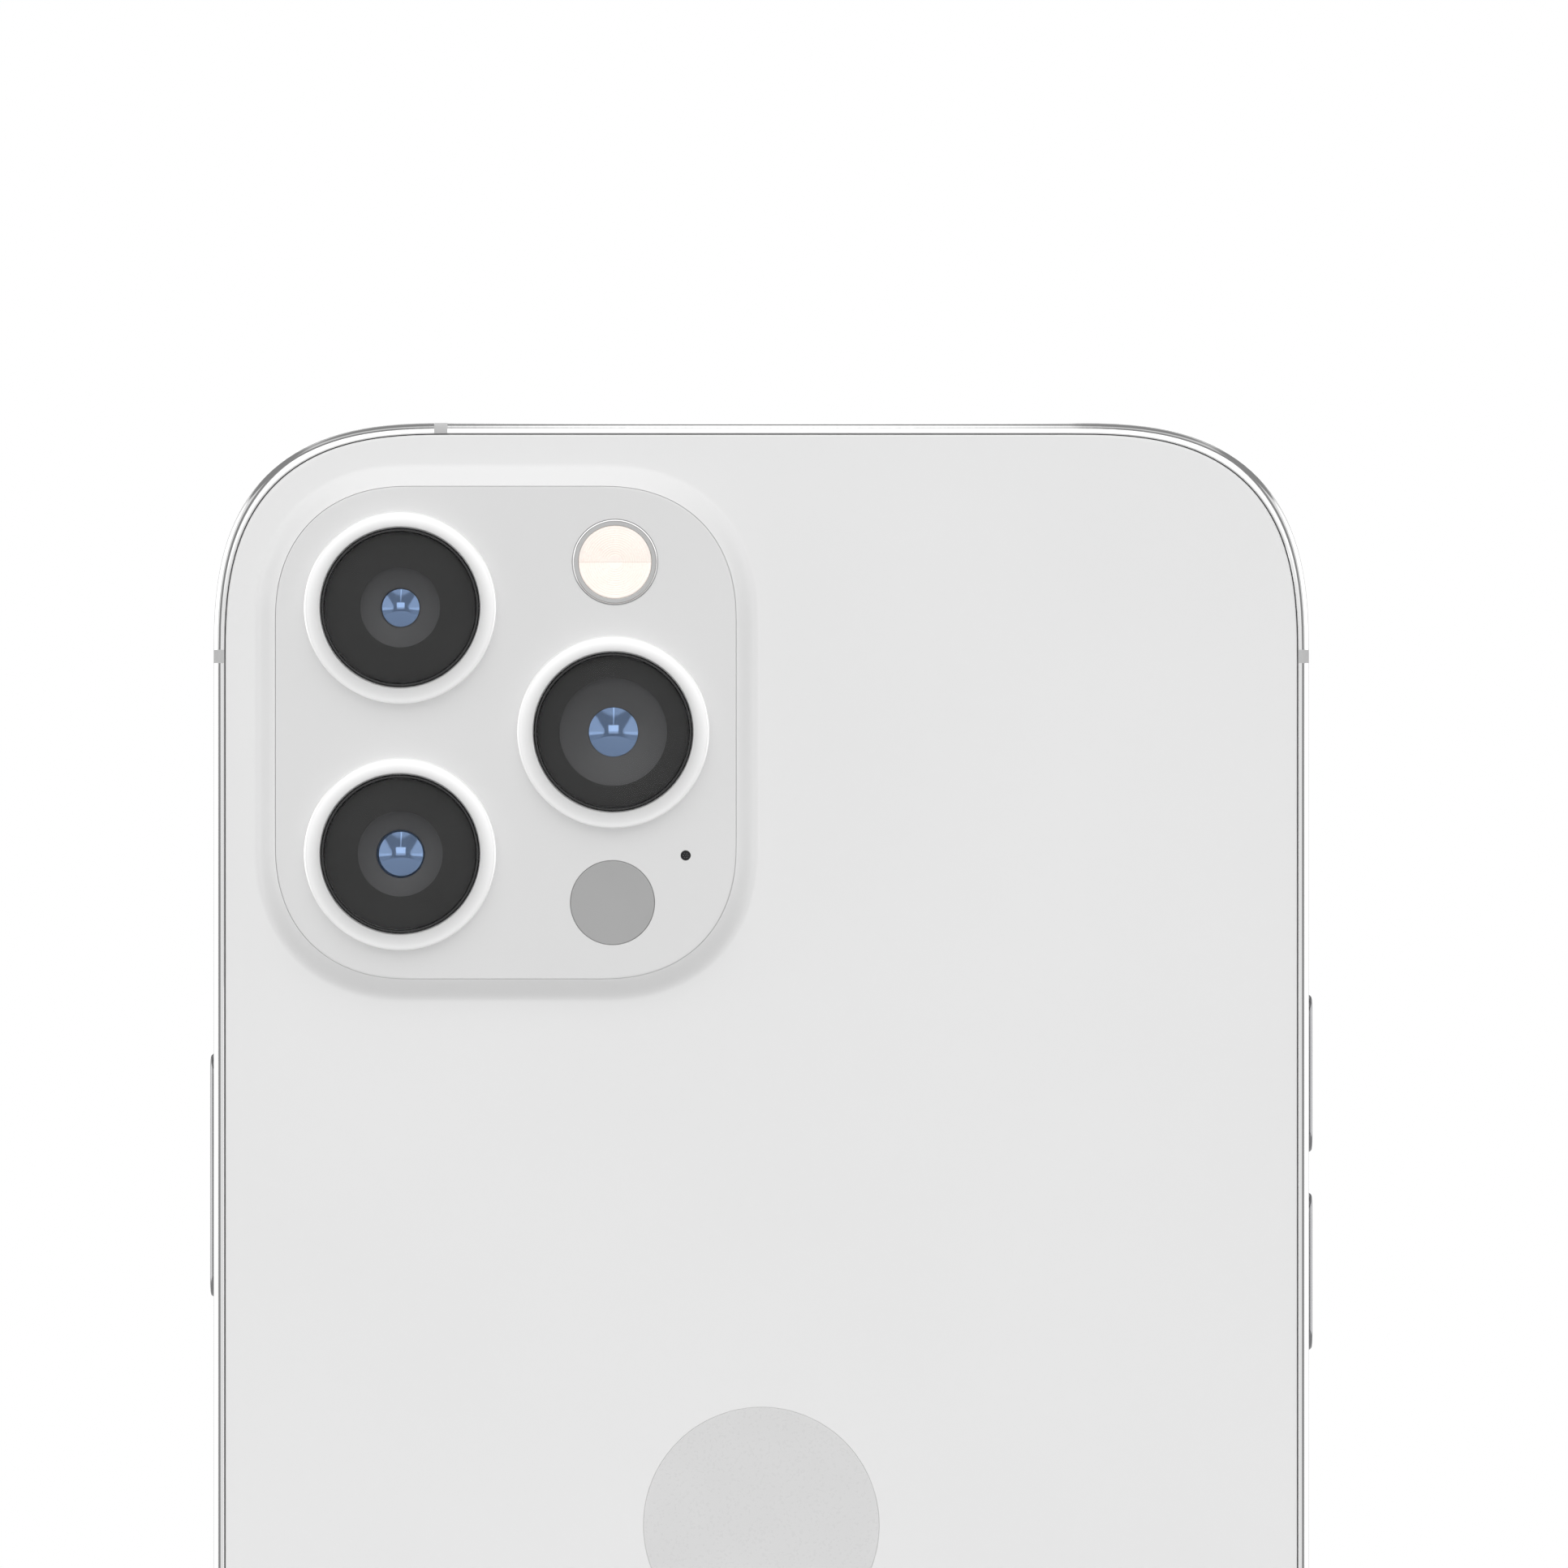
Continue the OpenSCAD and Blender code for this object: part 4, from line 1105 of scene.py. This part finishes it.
def build_tray():
    low, high = box_mm("sim_tray")
    z, l, w = side_mm("sim_tray")
    tip = high[0]
    x_head = WIDTH / 2 - POCKET + POCKET_GAP
    r = 0.08
    tray = Shape()
    levels = raised(x_head, tip, r, r, 4) + [(r + 0.1, tip)]
    tray.loft([on_side(pill(w - 2 * i, l - 2 * i), x, 0, z) for i, x in levels])
    x_arm = x_head + 0.02
    flat = rounded(x_arm - low[0], 11.4, 0.5, 6)
    tray.loft([on_back(flat, y, (x_arm + low[0]) / 2, z) for y in (-0.4, -0.36, 0.36, 0.4)])

    card_low, card_high = box_mm("sim_card")
    cx, cz = (card_high[0] + card_low[0]) / 2, (card_low[2] + card_high[2]) / 2
    card_w, card_l = card_high[0] - card_low[0], card_high[2] - card_low[2]
    seat_w, seat_l = card_w + 0.1, card_l + 0.1
    seat = Shape()
    seat_y = (card_low[1] - 0.01, 1.0)
    seat.loft([on_back(rounded(seat_w, seat_l, 0.2, 4), y, cx, z) for y in seat_y])
    window = Shape()
    flat = rounded(seat_w - 2.4, seat_l - 1.9, 0.6, 5)
    window.loft([on_back(flat, y, cx, z) for y in (-1.0, 1.0)])
    hole = Shape()
    levels = [(0.5, x_head - 1), (0.5, tip - 0.05), (0.55, tip), (0.55, tip + 0.5)]
    hole.loft([on_side(disc(q), x, 0, z + EJECT_Z) for q, x in levels])
    make("sim_tray_body", tray, "sim_tray", cutters=[seat, window, hole])

    a, b = card_w / 2, card_l / 2
    clip = 1.65
    flat = [(-a, -b), (a, -b), (a, b), (clip - a, b), (-a, b - clip)]
    ease = 0.05
    inner = [(p[0] * (1 - ease / a), p[1] * (1 - ease / b)) for p in flat]
    y0, y1 = card_low[1], card_high[1]
    card = Shape()
    levels = [(inner, y0), (flat, y0 + ease), (flat, y1 - ease), (inner, y1)]
    card.loft([on_back(p, y, cx, cz) for p, y in levels])
    make("sim_card_body", card, "sim_card")
    pads = Shape()
    flat = rounded(2.3, 1.7, 0.3, 4)
    for px in (-1.3, 1.3):
        for pz in (-2.0, 0.0, 2.0):
            pads.loft([on_back(flat, y, cx + px, cz + pz) for y in (y0 - 0.008, y0 + 0.02)])
    make("sim_card_contacts", pads, "sim_card", GOLD, replace=False)


def build_port():
    """Tongue of the charging port with its plug at the inner end, and two rows of contacts."""
    low, high = box_mm("port_tongue")
    w, t = 6.7, 0.7
    z0, z1 = low[2], high[2]
    z_plug = z1 - 0.7
    tongue = Shape()
    levels = [(0.12, z0), (0.0, z0 + 0.15), (0.0, z_plug)]
    tongue.loft(
        [on_floor(rounded(w - 2 * i, t - 2 * i, max(0.2 - i, 0.04), 4), z, 0) for i, z in levels]
    )
    plug = pill(high[0] - low[0], high[1] - low[1])
    tongue.loft([on_floor(plug, z, 0) for z in (z_plug, z1)])
    make("port_tongue_body", tongue, "port_tongue")
    pins = Shape()
    for side in (-1, 1):
        for k in range(12):
            place = (0.5 * k - 2.75, side * t / 2)
            pins.loft([on_floor(rectangle(0.125, 0.01), z, *place) for z in (z0 + 0.35, z0 + 3.9)])
    make("port_contacts", pins, "port_tongue", GOLD, replace=False)


# -------------------------------- stage, world, camera
BASE_LIGHT = 0.36
WIDE = 3.0  # beyond any direction
# brightness, limits across, limits up, softness across and up, of what reflections see
LIGHTS = (
    (2.0, (-WIDE, 0.34), (0.05, 0.47), 0.05, 0.03),  # in front of the phone
    (1.15, (-WIDE, 0.34), (-0.1, 0.05), 0.05, 0.03),  # below that, across the horizon
    (1.1, (0.6, 0.86), (0.02, 0.55), 0.04, 0.02),  # at the sides, the nearer part
    (2.3, (0.86, WIDE), (0.02, 0.55), 0.04, 0.02),  # at the sides, the farther part
    (1.5, (0.62, 0.93), (-0.1, 0.02), 0.03, 0.02),  # line under the horizon
    (0.6, (0.62, 0.93), (-0.5, -0.1), 0.03, 0.02),  # below that line
    (2.3, (0.93, WIDE), (-0.5, 0.02), 0.03, 0.02),  # at the sides, low down
    (0.9, (-WIDE, 0.45), (0.72, 0.9), 0.06, 0.04),  # arc above the phone
    (1.7, (-WIDE, 0.02), (0.47, 0.985), 0.01, 0.01),  # strip up the middle
    (0.5, (-WIDE, WIDE), (-WIDE, -0.5), 0.05, 0.08),  # glow from the floor
)
SOFT_LOW = 0.4
SOFT_HIGH = 0.54
KEY_LIGHT = 0.54
KEY_SPREAD = 70
SHADOWED = 0.4  # part of the key light that casts shadows
FLOOR_BOUNCE = 0.5


def maths(tree, operation, a, b):
    node = new_node(tree, "ShaderNodeMath", operation=operation)
    feed(tree, node.inputs[0], a)
    feed(tree, node.inputs[1], b)
    return node.outputs["Value"]


def times(tree, a, b):
    return maths(tree, "MULTIPLY", a, b)


def choose(tree, switch, a, b):
    """a where switch is 1, b where it is 0."""
    other = maths(tree, "SUBTRACT", 1.0, switch)
    return maths(tree, "ADD", times(tree, switch, a), times(tree, other, b))


def band(tree, value, low, high, soft):
    """1 between low and high, with soft edges."""
    smooth = {"interpolation_type": "SMOOTHSTEP"}
    rise = ramp(tree, value, low - soft, low + soft, 0.0, 1.0, **smooth)
    fall = ramp(tree, value, high - soft, high + soft, 1.0, 0.0, **smooth)
    return times(tree, rise, fall)


def build_key_light():
    """Broad suns high in front of the phone's back and high in front of its screen. Each side has
    one with shadows and one without. They light surfaces but don't show in reflections."""
    for side in (-1, 1):
        for share, shadow in ((SHADOWED, True), (1 - SHADOWED, False)):
            data = bpy.data.lights.new("key", "SUN")
            data.energy = share * KEY_LIGHT * math.pi
            data.angle = math.radians(KEY_SPREAD)
            data.use_shadow = shadow
            lamp = bpy.data.objects.new("key", data)
            bpy.context.scene.collection.objects.link(lamp)
            towards = Vector((-0.02, side * 0.72, 0.69))
            lamp.rotation_euler = towards.to_track_quat("Z", "Y").to_euler()
            lamp.visible_glossy = False


def build_world():
    """Separate lights for reflections, an even soft light for matt surfaces, and plain white
    behind the phone."""
    world = bpy.data.worlds.new("Studio")
    bpy.context.scene.world = world
    world.use_nodes = True
    tree = world.node_tree
    background = tree.nodes["Background"]
    place = new_node(tree, "ShaderNodeTexCoord")
    split = new_node(tree, "ShaderNodeSeparateXYZ")
    tree.links.new(place.outputs["Generated"], split.inputs["Vector"])
    across = maths(tree, "ABSOLUTE", split.outputs["X"], 0)
    up = split.outputs["Z"]
    total = BASE_LIGHT
    for strength, x_limits, z_limits, soft_x, soft_z in LIGHTS:
        in_x = band(tree, across, *x_limits, soft_x)
        in_z = band(tree, up, *z_limits, soft_z)
        light = times(tree, times(tree, in_x, in_z), strength - BASE_LIGHT)
        total = maths(tree, "ADD", light, total)
    soft = ramp(tree, up, -1.0, 1.0, SOFT_LOW, SOFT_HIGH)
    path = new_node(tree, "ShaderNodeLightPath")
    total = choose(tree, path.outputs["Is Diffuse Ray"], soft, total)
    total = choose(tree, path.outputs["Is Camera Ray"], 1.0, total)
    tree.links.new(total, background.inputs["Strength"])
    background.inputs["Color"].default_value = (1, 1, 1, 1)


def build_stage():
    """Round floor with a folded edge: pale as it is seen, and darker in the light it returns."""
    levels = [(150.0, -0.2), (300.0, -0.2), (450.0, -0.2), (450.0, -4.0)]
    turn = angles(0, 357, 119)
    rings = [[(r * math.cos(a), r * math.sin(a), z) for a in turn] for r, z in levels]
    floor = Shape()
    floor.tube([[(0, 0, -0.2)], *rings])
    obj = bpy.data.objects.new("floor", floor.mesh("floor"))
    obj.data.transform(Matrix.Scale(MM, 4))
    bpy.context.scene.collection.objects.link(obj)
    pale = surface("Pale floor", 240, 0.6, 0, 238, size=1.5, wide=60)
    tree = pale.node_tree
    base = tree.nodes["Principled BSDF"].inputs["Base Color"]
    path = new_node(tree, "ShaderNodeLightPath")
    returned = (FLOOR_BOUNCE, FLOOR_BOUNCE, FLOOR_BOUNCE, 1)
    seen = base.links[0].from_socket
    tree.links.new(blend_colours(tree, path.outputs["Is Camera Ray"], returned, seen), base)
    obj.data.materials.append(pale)


def build_camera_view():
    """Camera a metre behind the phone, framing its upper part. Lengths are in metres."""
    data = bpy.data.cameras.new("camera")
    camera = bpy.data.objects.new("camera", data)
    bpy.context.scene.collection.objects.link(camera)
    distance = 1.0
    seen_width = 0.11177
    sensor = 36
    data.sensor_width = sensor
    data.lens = sensor * distance / seen_width
    data.clip_start = 0.01
    data.clip_end = 20
    camera.location = (0.00162, Y_BACK * MM - distance, 0.13503)
    camera.rotation_euler = (math.radians(90), 0, 0)
    bpy.context.scene.camera = camera
    bpy.context.scene.view_settings.view_transform = "Standard"


build_world()
build_key_light()
build_stage()
build_camera_view()
build_frame()
build_back()
build_deck()
for camera_name in CAMERAS:
    build_camera(camera_name)
build_small_parts()
build_display()
build_button("side_button", -1)
build_button("volume_up_button", 1)
build_button("volume_down_button", 1)
build_mute()
build_tray()
build_port()

for node, obj in frame["nodes"].items():
    obj.data.materials.clear()
    obj.data.materials.append(MATERIALS[SLOT[node]])
